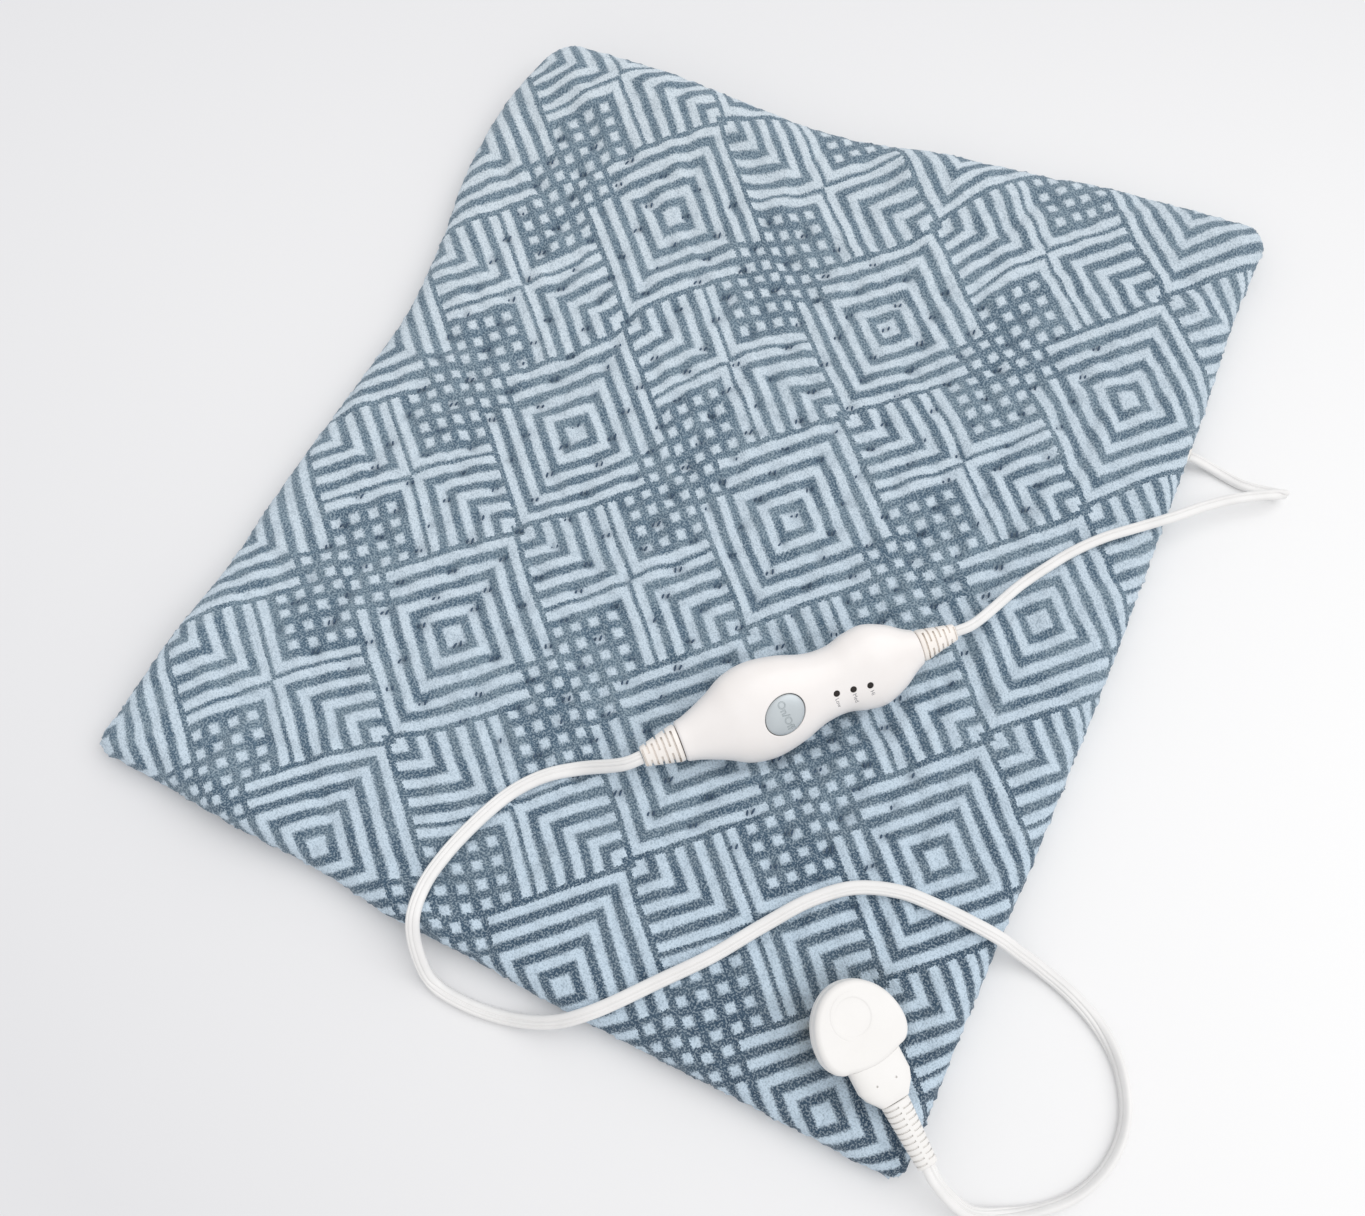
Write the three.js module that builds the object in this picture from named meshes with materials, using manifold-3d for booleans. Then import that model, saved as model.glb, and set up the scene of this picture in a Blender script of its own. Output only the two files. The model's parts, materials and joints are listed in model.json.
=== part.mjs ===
// Heating pad with a hand controller, its two leads and its mains plug.
// Millimetres, +Z up. The origin is the middle of the pad's footprint, on the surface it lies on.
// +X runs across the pad, +Y along it, away from the end where the plug lies.

import * as THREE from "three";
import Module from "manifold-3d";
import { mergeVertices } from "three/addons/utils/BufferGeometryUtils.js";

const wasm = await Module();
wasm.setup();

const degrees = THREE.MathUtils.degToRad;
const lerp = THREE.MathUtils.lerp;
const clamp = THREE.MathUtils.clamp;
const count = (length) => Array.from({ length }, (_, i) => i);
const up = new THREE.Vector3(0, 0, 1);
const evenly = (start, end, cells) => count(cells + 1).map((i) => lerp(start, end, i / cells));

// Gap between neighbouring pieces, and how far a cutting tool overshoots a face
const GAP = 0.3;
const OVERRUN = 1;

// Pad: overall size, filled thickness and rounded edge
const PAD_WIDTH = 316.4;
const PAD_LENGTH = 380.4;
const PAD_THICKNESS = 13.5;
const EDGE_THICKNESS = 4.6;
const EDGE_ROUND = 16;
const EDGE_CURL = 3.5;
const CORNER_ROUND = 14;

// How far each side of the pad is drawn in, at even steps along it, as shares of the overall size
const leftInsetShares = [0, 0.014, 0.029, 0.033, 0.042, 0.053, 0.061, 0.051, 0.033, 0.035, 0.062];
const rightInsetShares = [0.013, 0.006, 0.003, 0.001, 0, 0, 0.003, 0.008, 0.014, 0.019, 0.016];
const nearInsetShares = [0.032, 0.028, 0.023, 0.021, 0.012, 0.01, 0.006, 0.004, 0.003, 0.001, 0];
const farInsetShares = [0.09, 0.092, 0.091, 0.087, 0.078, 0.067, 0.049, 0.026, 0.011, 0.005, 0];

// Lines of the cloth's grid: rounded margins, and even cells over the heated field between them
const HEATED_CELLS = 13;
const heatedAcrossShares = [0.06, 0.885];
const heatedAlongShares = [0.12, 0.87];
const leftLineShares = [0, 0.013, 0.035];
const rightLineShares = [0.93, 0.965, 0.987, 1];
const nearLineShares = [0, 0.011, 0.035, 0.075];
const farLineShares = [0.91, 0.955, 0.987, 1];

// Waves where the cloth rises off the surface: place, reach and height as shares of the pad's size
const waveShares = [
  { at: [-0.27, 0.4], reach: [0.19, 0.12], height: 0.96 },
  { at: [0.07, 0.46], reach: [0.1, 0.09], height: 0.6 },
  { at: [-0.48, -0.33], reach: [0.11, 0.08], height: 0.45 },
  { at: [-0.31, -0.47], reach: [0.09, 0.06], height: 0.37 },
  { at: [-0.08, -0.49], reach: [0.09, 0.05], height: 0.24 },
  { at: [0.47, 0.49], reach: [0.13, 0.08], height: 0.3 },
];
const waveFloorShare = 0.09;

// Layers of the pad between its two faces, as shares of the cloth and of the thickness
const underCoverShare = 0.31;
const carrierShare = 0.28;
const seamShare = 0.45;

// Heating wire: sixteen stitched runs across the field, both ends at the lead's entry
const WIRE_DIAMETER = 2.6;
const WIRE_CLEARANCE = 0.45;
const WIRE_RUNS = 16;
const WIRE_SIDES = 4;
const WIRE_BEND_CELLS = 8;
const WIRE_SAMPLE = 4;
const WIRE_TOLERANCE = 0.2;
const WIRE_RETURN_GAP = 4.5;
const wireAcrossShares = [-0.369, 0.342];
const wireAlongShares = [-0.323, 0.262];
const THERMOSTAT = { length: 14, width: 5.4, height: 2.4 };
const thermostatRuns = [4, 11];

// Entry of the pad lead: a flat sleeve in the seam, with a collar inside
const ENTRY = { y: 90.3, width: 7.6, height: 3, reach: 1.2, wireSpread: 4 };
const ENTRY_COLLAR = { width: 15, height: 4.4, length: 4 };

// Flat leads: size of their section and the straight stretch at each end
const MAINS_LEAD = { width: 4.9, thickness: 2.7 };
const PAD_LEAD = { width: 3.9, thickness: 2.4 };
const MAINS_LEAD_STEPS = 52;
const PAD_LEAD_STEPS = 28;
const LEAD_STRAIGHT = 6;
const LEAD_TWIST = 45;
const shoulderShare = 0.3;

// Controller: place on the pad, how it lies, and its housing
const CONTROLLER = { x: 61.7, y: -59.9 };
const CONTROLLER_TURN = { yaw: degrees(47.2), pitch: 0, roll: degrees(32) };
const HOUSING = { length: 89.5, width: 35.6, crown: 10.4, belly: 8.6, wall: 1.8 };
const housingRearShare = 0.486;
const HOUSING_RINGS = 22;
const HOUSING_SIDES = 24;
const HOLLOW_RINGS = 12;
const HOLLOW_SIDES = 14;
const SECTION_POWER = 0.86;
// Stations along the housing: place, half width, crown and belly, as shares of its sizes
const housingShares = [
  [0, 0.2, 0.58, 0.66],
  [0.05, 0.235, 0.62, 0.69],
  [0.15, 0.345, 0.8, 0.82],
  [0.23, 0.455, 0.94, 0.95],
  [0.33, 0.5, 1, 1],
  [0.45, 0.452, 0.97, 0.97],
  [0.56, 0.36, 0.87, 0.89],
  [0.65, 0.345, 0.82, 0.86],
  [0.73, 0.4, 0.83, 0.87],
  [0.81, 0.418, 0.82, 0.86],
  [0.9, 0.33, 0.7, 0.76],
  [0.96, 0.225, 0.56, 0.62],
  [1, 0.17, 0.5, 0.56],
];

// Places along the housing, as shares of its length from the rear end
const placeShares = {
  rearScrew: 0.112,
  boardStart: 0.184,
  button: 0.402,
  firstLight: 0.618,
  lightPitch: 0.067,
  boardEnd: 0.832,
  frontScrew: 0.888,
};

// Button and indicator lights stand a little to one side of the housing's ridge, in a row that drifts off it
const BUTTON = { length: 15.2, width: 12.7, aside: -1.6, edge: 9.5, dome: 1.3, clearance: 0.3, nub: 3.2 };
const BUTTON_FLANGE = { reach: 1.2, top: 6.3, thickness: 1.1, collar: 1.5 };
const BUTTON_TURN = degrees(34);
const BUTTON_SIDES = 28;
const BUTTON_RINGS = 4;
const LIGHT = { hole: 2.3, diameter: 3, foot: 3.8, footHeight: 1, top: 6.1, tip: 8, aside: -1.9, drift: -0.9 };
const LIGHT_NAMES = ["low", "medium", "high"];
const LIGHT_SIDES = 12;

// Circuit board and what stands on it, placed along it as shares of its length
const boardPlaceShares = { triac: 0.216, fuse: 0.405, capacitor: 0.569, chip: 0.776 };
const BOARD = { width: 15, thickness: 1.6, top: -1.4, postInset: 4, postRadius: 1.7 };
const SWITCH = { side: 6.2, height: 3.4, bore: 4.2, boreDepth: 2.4, plunger: 3.6, plungerLength: 2.5, play: 1 };
const TRIAC = { y: 4.2, length: 4.6, width: 4.4, height: 4.6 };
const FUSE = { y: 5.2, length: 9, diameter: 3.4 };
const CAPACITOR = { y: 3.9, length: 6, width: 5.6, height: 5 };
const CHIP = { y: 4.4, length: 8, width: 5, height: 2.2 };
const TERMINAL = { length: 3.2, width: 12, height: 5.4, inset: 0.3 };
const CORE = { diameter: 1.5, spread: 4.6, height: 0.6 };
const CORE_SIDES = 8;

// Screws that hold the two covers together, and their posts
const SCREWS = { radius: 1.2, head: 2.1, headHeight: 1.6, recess: 1, depth: 4.6, post: 3.4 };
const POST_SIDES = 12;

// Strain reliefs of the controller, from the housing's end outwards, with their neck and plate inside
const MAINS_RELIEF = { length: 13.6, width: 13.2, height: 10, endWidth: 7.2, endHeight: 5, collar: 1.5 };
const PAD_RELIEF = { length: 13.8, width: 11.2, height: 8.6, endWidth: 5.8, endHeight: 4.2, collar: 1.5 };
const RELIEF_SLOT = { width: 0.95, pitch: 2.08, spine: 2.4 };
const RELIEF_NECK = { width: 5.4, height: 4.6, plate: 1.4, plateInset: 0.35 };
const RELIEF_SIDES = 12;

// Plug: place of its reference point, how it lies, head, neck, blades and strain relief
const PLUG = { x: 115.6, y: -147.4 };
const PLUG_TURN = { yaw: degrees(-37), pitch: degrees(12), roll: degrees(-9) };
const HEAD = { nose: -5.3, middle: 13, back: 21, bulge: 2, width: 31, backWidth: 19.6, thickness: 8.6, edge: 1.8 };
const HEAD_SIDES = 36;
const HEAD_EDGE_RINGS = 3;
const NECK = { start: 14, full: 28.8, shoulder: 32, end: 35.6, thickness: 7.6, endThickness: 7 };
const NECK_WIDTH = { full: 18.8, shoulder: 16.2, end: 10.6 };
const CARRIER = { x: 7.5, diameter: 19.2, depth: 4.4 };
const BLADE = { width: 6.35, thickness: 1.5, spacing: 12.7, length: 15.9, root: 3.4, hole: 3.2, holeDown: 11.7 };
const PLUG_RELIEF = { length: 22.4, width: 9.6, height: 7, endWidth: 7, endHeight: 5, collar: 1.2 };
const PLUG_SLOT = { width: 0.8, pitch: 1.95, spine: 1 };

// Dents that the controller and the plug press into the pad, in the frame of what presses
const CONTROLLER_DENT = { ahead: -2, aside: -9, reachAhead: 44, reachAside: 19, depth: 5 };
const PLUG_DENT = { ahead: 5, aside: 0, reachAhead: 26, reachAside: 26, depth: 9.5 };

// Routes of the two leads between the straight stretches at their ends, chosen by hand
const MAINS_ROUTE = [
  [3.5, -113.8, 15.4], [-5.8, -120.8, 15.4], [-13.6, -130.6, 15.4], [-19.6, -143.8, 15.6],
  [-24.4, -159.6, 16], [-26, -172, 16.4], [-24.2, -183, 16.8], [-19.6, -191.5, 11],
  [-11, -199, 3], [2, -200.5, 2], [18, -198.5, 2.6], [33, -193, 9], [44, -184.5, 15],
  [60, -166, 15.6], [72, -151.6, 15.5], [83, -135.8, 15.4], [94.2, -121, 15.4],
  [105.7, -111.2, 15.4], [120.2, -105.9, 15.4], [133, -105, 15.4], [146.5, -105.4, 15.8],
  [156, -105.8, 13.8], [164, -106.4, 8], [174, -107.6, 2.6], [185.7, -110.9, 1.8], [196.8, -116.1, 1.8],
  [205.4, -122.8, 1.8], [211.6, -130.8, 1.8], [215.6, -140, 1.8], [216.6, -149.8, 1.8],
  [214.6, -160, 1.8], [209.4, -169.8, 1.8], [201.5, -177.8, 1.8], [191.5, -184.4, 2.4],
  [180, -189, 6],
];
const PAD_ROUTE = [
  [171, 89.2, 2.6], [178, 89, 1.6], [185, 90, 1.5], [190.5, 91, 1.5], [194.8, 91.8, 2.8],
  [196.6, 92, 6.2], [194.8, 91.4, 9.8], [190.5, 89.8, 11.2], [184, 87, 11.7], [176, 81.4, 12.6],
  [167, 73, 14.2], [157, 61.8, 15.4], [148.2, 52.4, 15.6], [137.9, 42.1, 15.4], [129.2, 31.8, 15.4],
  [122.9, 22.2, 15.4], [117.3, 12.7, 15.6],
];

// Finishes
const finish = (color, roughness, metalness = 0) =>
  new THREE.MeshStandardMaterial({ color, roughness, metalness });
const plush = finish(0x8aa3b5, 0.95);
const underCloth = finish(0x7f98aa, 0.95);
const felt = finish(0xd9d5cc, 0.95);
const wireSleeve = finish(0xc9b28a, 0.6);
const whitePlastic = finish(0xf1eeea, 0.45);
const buttonPlastic = finish(0xb4bfc3, 0.4);
const leadVinyl = finish(0xeeeae4, 0.5);
const darkPlastic = finish(0x2c2e30, 0.6);
const boardGreen = finish(0x2f6b46, 0.6);
const copper = finish(0xb87345, 0.4, 0.9);
const steel = finish(0x9b9da0, 0.35, 0.9);
const brass = finish(0xc9a54d, 0.35, 0.9);
const smokedLens = finish(0x3b3532, 0.3);

function named(name, geometry, material) {
  const mesh = new THREE.Mesh(geometry, material);
  mesh.name = name;
  return mesh;
}

// Boolean work on closed meshes

function solid(geometry) {
  const bare = geometry.clone();
  for (const key of Object.keys(bare.attributes)) {
    if (key !== "position") bare.deleteAttribute(key);
  }
  const merged = mergeVertices(bare, 1e-5);
  const triVerts = new Uint32Array(merged.index.array);
  const vertProperties = new Float32Array(merged.attributes.position.array);
  return new wasm.Manifold(new wasm.Mesh({ numProp: 3, vertProperties, triVerts }));
}

function geometryOf(manifold) {
  const mesh = manifold.getMesh();
  const geometry = new THREE.BufferGeometry();
  geometry.setAttribute("position", new THREE.BufferAttribute(mesh.vertProperties, 3));
  geometry.setIndex(new THREE.BufferAttribute(mesh.triVerts, 1));
  geometry.computeVertexNormals();
  return geometry;
}

const cut = (base, tools) => tools.reduce((rest, tool) => rest.subtract(solid(tool)), base);
const join = (base, pieces) => pieces.reduce((whole, piece) => whole.add(solid(piece)), base);

// Closed shapes

// A closed skin over rings that hold the same number of points, with flat ends
function skin(rings) {
  const sides = rings[0].length;
  const index = [];
  for (const ring of count(rings.length - 1)) {
    for (const side of count(sides)) {
      const a = ring * sides + side;
      const b = ring * sides + ((side + 1) % sides);
      index.push(a, b, b + sides, a, b + sides, a + sides);
    }
  }
  const last = (rings.length - 1) * sides;
  for (const side of count(sides - 1).slice(1)) {
    index.push(0, side + 1, side);
    index.push(last, last + side, last + side + 1);
  }
  return meshOf(rings.flat().flatMap((point) => [point.x, point.y, point.z]), index);
}

function meshOf(positions, index) {
  const geometry = new THREE.BufferGeometry();
  geometry.setAttribute("position", new THREE.Float32BufferAttribute(positions, 3));
  geometry.setIndex(index);
  geometry.computeVertexNormals();
  return geometry;
}

// A rounded section across the X axis: half width, height above and depth below the axis
function section(x, halfWidth, above, below, sides, power) {
  const round = (value) => Math.sign(value) * Math.abs(value) ** power;
  return count(sides).map((side) => {
    const angle = (2 * Math.PI * side) / sides;
    const rise = round(Math.sin(angle));
    return new THREE.Vector3(x, halfWidth * round(Math.cos(angle)), rise * (rise > 0 ? above : below));
  });
}

// A loft along X through entries of place, width and height
const loft = (entries, sides, power = 1) =>
  skin(entries.map(([x, width, height]) => section(x, width / 2, height / 2, height / 2, sides, power)));

// A stack of ovals along Z through entries of height, length and width
const ovalStack = (entries, sides) =>
  skin(
    entries.map(([z, length, width]) =>
      count(sides).map((side) => {
        const angle = (2 * Math.PI * side) / sides;
        return new THREE.Vector3((length / 2) * Math.cos(angle), (width / 2) * Math.sin(angle), z);
      }),
    ),
  );

const block = (x, y, z, length, width, height) =>
  new THREE.BoxGeometry(length, width, height).translate(x, y, z);

// A round bar along Z between two heights
const bar = (x, y, bottom, top, radius, sides = POST_SIDES) =>
  ovalStack([bottom, top].map((z) => [z, 2 * radius, 2 * radius]), sides).translate(x, y, 0);

// A value of a table of stations, on a smooth curve through the stations
function stationValue(stations, entry, where) {
  const last = stations.length - 1;
  const i = clamp(stations.findIndex((station) => station[0] > where) - 1, 0, last - 1);
  const start = where >= stations[last][0] ? last - 1 : i;
  const slope = (k) => {
    const [a, b] = [stations[Math.max(k - 1, 0)], stations[Math.min(k + 1, last)]];
    return (b[entry] - a[entry]) / (b[0] - a[0]);
  };
  const [from, to] = [stations[start], stations[start + 1]];
  const span = to[0] - from[0];
  const f = clamp((where - from[0]) / span, 0, 1);
  const [g, h] = [slope(start) * span, slope(start + 1) * span];
  const rise = to[entry] - from[entry];
  return from[entry] + f * (g + f * (3 * rise - 2 * g - h + f * (g + h - 2 * rise)));
}

const evenStations = (shares) => shares.map((share, i) => [i / (shares.length - 1), share]);
const insets = [leftInsetShares, rightInsetShares, nearInsetShares, farInsetShares].map(evenStations);

// Pad: plan, heights and layers

// Plan of a point of the cloth before it is fitted to the overall size, from its shares across and along
function padPlan(across, along) {
  const [left, right, near, far] = insets.map((table, i) => stationValue(table, 1, i < 2 ? along : across));
  const x = PAD_WIDTH * lerp(left - 0.5, 0.5 - right, across);
  const y = PAD_LENGTH * lerp(near - 0.5, 0.5 - far, along);
  const endX = Math.max(0, 1 - (Math.min(across, 1 - across) * PAD_WIDTH) / CORNER_ROUND);
  const endY = Math.max(0, 1 - (Math.min(along, 1 - along) * PAD_LENGTH) / CORNER_ROUND);
  const pull = CORNER_ROUND * (1 - Math.SQRT1_2) * endX * endY;
  return { x: x + (across < 0.5 ? pull : -pull), y: y + (along < 0.5 ? pull : -pull) };
}

// How far the underside is off the surface that the pad lies on
function padLift(x, y) {
  const swell = waveShares.reduce((sum, { at, reach, height }) => {
    const dx = (x / PAD_WIDTH - at[0]) / reach[0];
    const dy = (y / PAD_LENGTH - at[1]) / reach[1];
    return sum + height * Math.exp(-dx * dx - dy * dy);
  }, 0);
  return PAD_THICKNESS * Math.max(0, swell - waveFloorShare);
}

function dentAt(x, y, place, yaw, dent) {
  const local = new THREE.Vector2(x - place.x, y - place.y).rotateAround(new THREE.Vector2(), -yaw);
  const ahead = (local.x - dent.ahead) / dent.reachAhead;
  const aside = (local.y - dent.aside) / dent.reachAside;
  return dent.depth * Math.exp(-ahead * ahead - aside * aside);
}

const padDent = (x, y) =>
  Math.max(
    dentAt(x, y, CONTROLLER, CONTROLLER_TURN.yaw, CONTROLLER_DENT),
    dentAt(x, y, PLUG, PLUG_TURN.yaw, PLUG_DENT),
  );

const acrossLines = [...leftLineShares, ...evenly(...heatedAcrossShares, HEATED_CELLS), ...rightLineShares];
const alongLines = [...nearLineShares, ...evenly(...heatedAlongShares, HEATED_CELLS), ...farLineShares];
const firstHeated = [leftLineShares.length, nearLineShares.length];
const wireChannel = WIRE_DIAMETER + 2 * WIRE_CLEARANCE;

// The cloth's plan, centred on the origin and drawn out to the pad's overall size
const rawPlan = acrossLines.map((across) => alongLines.map((along) => padPlan(across, along)));
const fitted = (axis, size) => {
  const values = rawPlan.flat().map((place) => place[axis]);
  const [low, high] = [Math.min(...values), Math.max(...values)];
  return (value) => (size * (value - (low + high) / 2)) / (high - low);
};
const fittedX = fitted("x", PAD_WIDTH);
const fittedY = fitted("y", PAD_LENGTH);

// One place of the cloth's grid: plan and the heights of every layer there
function padNode(i, j) {
  const [across, along] = [acrossLines[i], alongLines[j]];
  const [x, y] = [fittedX(rawPlan[i][j].x), fittedY(rawPlan[i][j].y)];
  const fromSide = Math.min(across, 1 - across) * PAD_WIDTH;
  const fromEnd = Math.min(along, 1 - along) * PAD_LENGTH;
  const inward = clamp(Math.min(fromSide, fromEnd) / EDGE_ROUND, 0, 1);
  const fullness = Math.sqrt(1 - (1 - inward) ** 2);
  const underside = padLift(x, y) + EDGE_CURL * (1 - inward) ** 2;
  const thickness = lerp(EDGE_THICKNESS, PAD_THICKNESS - padDent(x, y), fullness);
  const seam = underside + seamShare * thickness;
  const cloth = thickness - wireChannel - GAP;
  const heated = [i, j].every((line, k) => line >= firstHeated[k] && line <= firstHeated[k] + HEATED_CELLS);
  const innerLow = heated ? underside + underCoverShare * cloth : seam - GAP / 2;
  const carrierTop = innerLow + GAP + carrierShare * cloth;
  const innerHigh = heated ? carrierTop + wireChannel : seam + GAP / 2;
  return { x, y, underside, innerLow, carrierTop, innerHigh, topside: underside + thickness };
}

const padNodes = count(acrossLines.length).map((i) => count(alongLines.length).map((j) => padNode(i, j)));
const heatedNodes = padNodes
  .slice(firstHeated[0], firstHeated[0] + HEATED_CELLS + 1)
  .map((column) => column.slice(firstHeated[1], firstHeated[1] + HEATED_CELLS + 1));

// A closed layer of the pad between two heights, over a block of the grid
function padLayer(nodes, low, high) {
  const [columns, rows] = [nodes.length, nodes[0].length];
  const positions = [low, high].flatMap((height) =>
    nodes.flatMap((column) => column.flatMap((node) => [node.x, node.y, height(node)])),
  );
  const at = ([i, j], level) => (level * columns + i) * rows + j;
  const index = [];
  for (const i of count(columns - 1)) {
    for (const j of count(rows - 1)) {
      const [a, b, c, d] = [[i, j], [i + 1, j], [i + 1, j + 1], [i, j + 1]];
      index.push(at(a, 1), at(b, 1), at(c, 1), at(a, 1), at(c, 1), at(d, 1));
      index.push(at(a, 0), at(c, 0), at(b, 0), at(a, 0), at(d, 0), at(c, 0));
    }
  }
  const rim = [
    ...count(columns - 1).flatMap((i) => [[[i, 0], [i + 1, 0]], [[i + 1, rows - 1], [i, rows - 1]]]),
    ...count(rows - 1).flatMap((j) => [[[columns - 1, j], [columns - 1, j + 1]], [[0, j + 1], [0, j]]]),
  ];
  for (const [from, to] of rim) {
    index.push(at(from, 0), at(to, 0), at(to, 1), at(from, 0), at(to, 1), at(from, 1));
  }
  return meshOf(positions, index);
}

// Height of a layer's surface at a plan place, on the same triangles as the layer's mesh
function heightOn(nodes, height, x, y) {
  for (const i of count(nodes.length - 1)) {
    for (const j of count(nodes[0].length - 1)) {
      const [a, b, c, d] = [nodes[i][j], nodes[i + 1][j], nodes[i + 1][j + 1], nodes[i][j + 1]];
      for (const [p, q, r] of [[a, b, c], [a, c, d]]) {
        const area = (q.x - p.x) * (r.y - p.y) - (r.x - p.x) * (q.y - p.y);
        const u = ((x - p.x) * (r.y - p.y) - (r.x - p.x) * (y - p.y)) / area;
        const v = ((q.x - p.x) * (y - p.y) - (x - p.x) * (q.y - p.y)) / area;
        if (u >= 0 && v >= 0 && u + v <= 1) {
          return height(p) + u * (height(q) - height(p)) + v * (height(r) - height(p));
        }
      }
    }
  }
  return 0;
}

const carrierTopAt = (x, y) => heightOn(heatedNodes, (node) => node.carrierTop, x, y);

// Where the last column of a block of the grid lies, at a place along the pad
function lastColumnX(nodes, y) {
  const column = nodes[nodes.length - 1];
  const j = clamp(column.findIndex((node) => node.y >= y), 1, column.length - 1);
  const [before, after] = [column[j - 1], column[j]];
  return lerp(before.x, after.x, (y - before.y) / (after.y - before.y));
}

const entryReachY = [-ENTRY_COLLAR.width / 2, 0, ENTRY_COLLAR.width / 2].map((offset) => ENTRY.y + offset);
const fieldEnds = entryReachY.map((y) => lastColumnX(heatedNodes, y));
const entryInnerX = Math.max(...fieldEnds) + GAP;
const entryOuterX = lastColumnX(padNodes, ENTRY.y) + ENTRY.reach;
const entryZ = EDGE_CURL + EDGE_THICKNESS / 2;

// The entry, or with a clearance the channel that it lies in
function entryBody(clearance) {
  const outer = entryOuterX + (clearance > 0 ? OVERRUN : 0);
  const sleeve = loft(
    [entryInnerX - clearance, outer].map((x) => [x, ENTRY.width + 2 * clearance, ENTRY.height + 2 * clearance]),
    RELIEF_SIDES,
    SECTION_POWER,
  );
  const collar = block(
    entryInnerX + ENTRY_COLLAR.length / 2,
    0,
    0,
    ENTRY_COLLAR.length + 2 * clearance,
    ENTRY_COLLAR.width + 2 * clearance,
    ENTRY_COLLAR.height + 2 * clearance,
  );
  return geometryOf(join(solid(sleeve), [collar])).translate(0, ENTRY.y, entryZ);
}

// Plan of the heating wire, from the entry through every run and back along the near edge
function wirePlan() {
  const [firstX, lastX] = wireAcrossShares.map((share) => share * PAD_WIDTH);
  const [nearY, farY] = wireAlongShares.map((share) => share * PAD_LENGTH);
  const pitch = (lastX - firstX) / (WIRE_RUNS - 1);
  const half = pitch / 2;
  const endX = Math.min(...fieldEnds) - WIRE_TOLERANCE;
  const upper = ENTRY.y + ENTRY.wireSpread;
  const lower = ENTRY.y - ENTRY.wireSpread;
  const returnY = nearY - half - WIRE_RETURN_GAP;
  const bend = (x, y, from, to) =>
    evenly(from, to, WIRE_BEND_CELLS).map(
      (angle) => new THREE.Vector2(x + half * Math.cos(angle), y + half * Math.sin(angle)),
    );
  const quarter = Math.PI / 2;
  const plan = [new THREE.Vector2(endX, upper), ...bend(lastX - half, upper - half, quarter, 2 * quarter)];
  for (const turn of count(WIRE_RUNS - 2)) {
    const x = lastX - pitch * (turn + 1.5);
    plan.push(...(turn % 2 ? bend(x, farY, 0, 2 * quarter) : bend(x, nearY, 0, -2 * quarter)));
  }
  plan.push(...bend(firstX + half, returnY + half, -2 * quarter, -quarter));
  plan.push(...bend(lastX - half, returnY + half, -quarter, 0));
  plan.push(...bend(lastX + half, lower - half, 2 * quarter, quarter), new THREE.Vector2(endX, lower));
  return plan;
}

// Points kept so that the line through them stays close to all the points given
function thinned(points) {
  const [start, end] = [points[0], points[points.length - 1]];
  const line = new THREE.Line3(start, end);
  const off = points.map((point) => point.distanceTo(line.closestPointToPoint(point, true, new THREE.Vector3())));
  const widest = off.indexOf(Math.max(...off));
  if (off[widest] < WIRE_TOLERANCE) return [start, end];
  return [...thinned(points.slice(0, widest + 1)).slice(0, -1), ...thinned(points.slice(widest))];
}

function heatingWire() {
  const plan = wirePlan();
  const rise = WIRE_CLEARANCE + WIRE_DIAMETER / 2;
  const points = plan.flatMap((point, i) => {
    if (i === 0) return [point];
    const cells = Math.ceil(point.distanceTo(plan[i - 1]) / WIRE_SAMPLE);
    return evenly(0, 1, cells).slice(1).map((f) => plan[i - 1].clone().lerp(point, f));
  });
  const path = thinned(points.map(({ x, y }) => new THREE.Vector3(x, y, carrierTopAt(x, y) + rise)));
  const rings = path.map((point, i) => {
    const ahead = path[Math.min(i + 1, path.length - 1)];
    const along = ahead.clone().sub(path[Math.max(i - 1, 0)]).normalize();
    const aside = up.clone().cross(along).normalize();
    const above = along.clone().cross(aside);
    return section(0, WIRE_DIAMETER / 2, WIRE_DIAMETER / 2, WIRE_DIAMETER / 2, WIRE_SIDES, 1).map((spot) =>
      point.clone().addScaledVector(aside, spot.y).addScaledVector(above, spot.z),
    );
  });
  return skin(rings);
}

function buildPad() {
  const group = new THREE.Group();
  const channel = entryBody(GAP);
  const top = padLayer(padNodes, (node) => node.innerHigh, (node) => node.topside);
  const bottom = padLayer(padNodes, (node) => node.underside, (node) => node.innerLow);
  const carrier = padLayer(heatedNodes, (node) => node.innerLow + GAP, (node) => node.carrierTop);
  group.add(named("pad_cover_top", geometryOf(cut(solid(top), [channel])), plush));
  group.add(named("pad_cover_bottom", geometryOf(cut(solid(bottom), [channel])), underCloth));
  group.add(named("heating_sheet", carrier, felt));
  group.add(named("heating_wire", heatingWire(), wireSleeve));
  group.add(named("pad_lead_entry", entryBody(0), whitePlastic));
  const [firstShare, lastShare] = wireAcrossShares;
  thermostatRuns.forEach((run, i) => {
    const runX = PAD_WIDTH * lerp(firstShare, lastShare, run / (WIRE_RUNS - 1));
    const x = runX + (WIRE_DIAMETER + THERMOSTAT.width) / 2 + GAP;
    const body = new THREE.BoxGeometry(THERMOSTAT.width, THERMOSTAT.length, THERMOSTAT.height);
    const mesh = named(`thermostat_${i + 1}`, body, copper);
    mesh.position.set(x, 0, carrierTopAt(x, 0) + GAP + THERMOSTAT.height / 2);
    group.add(mesh);
  });
  return group;
}

// Controller

const housingRear = HOUSING.length * housingRearShare;
const housingEnd = HOUSING.length - housingRear;
const alongHousing = (share) => HOUSING.length * share - housingRear;

// Half width, crown and belly of the housing at a place along it
function housingAt(x) {
  const where = clamp((x + housingRear) / HOUSING.length, 0, 1);
  const [halfWidth, crown, belly] = [1, 2, 3].map((entry) => stationValue(housingShares, entry, where));
  return { halfWidth: halfWidth * HOUSING.width, crown: crown * HOUSING.crown, belly: belly * HOUSING.belly };
}

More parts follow.
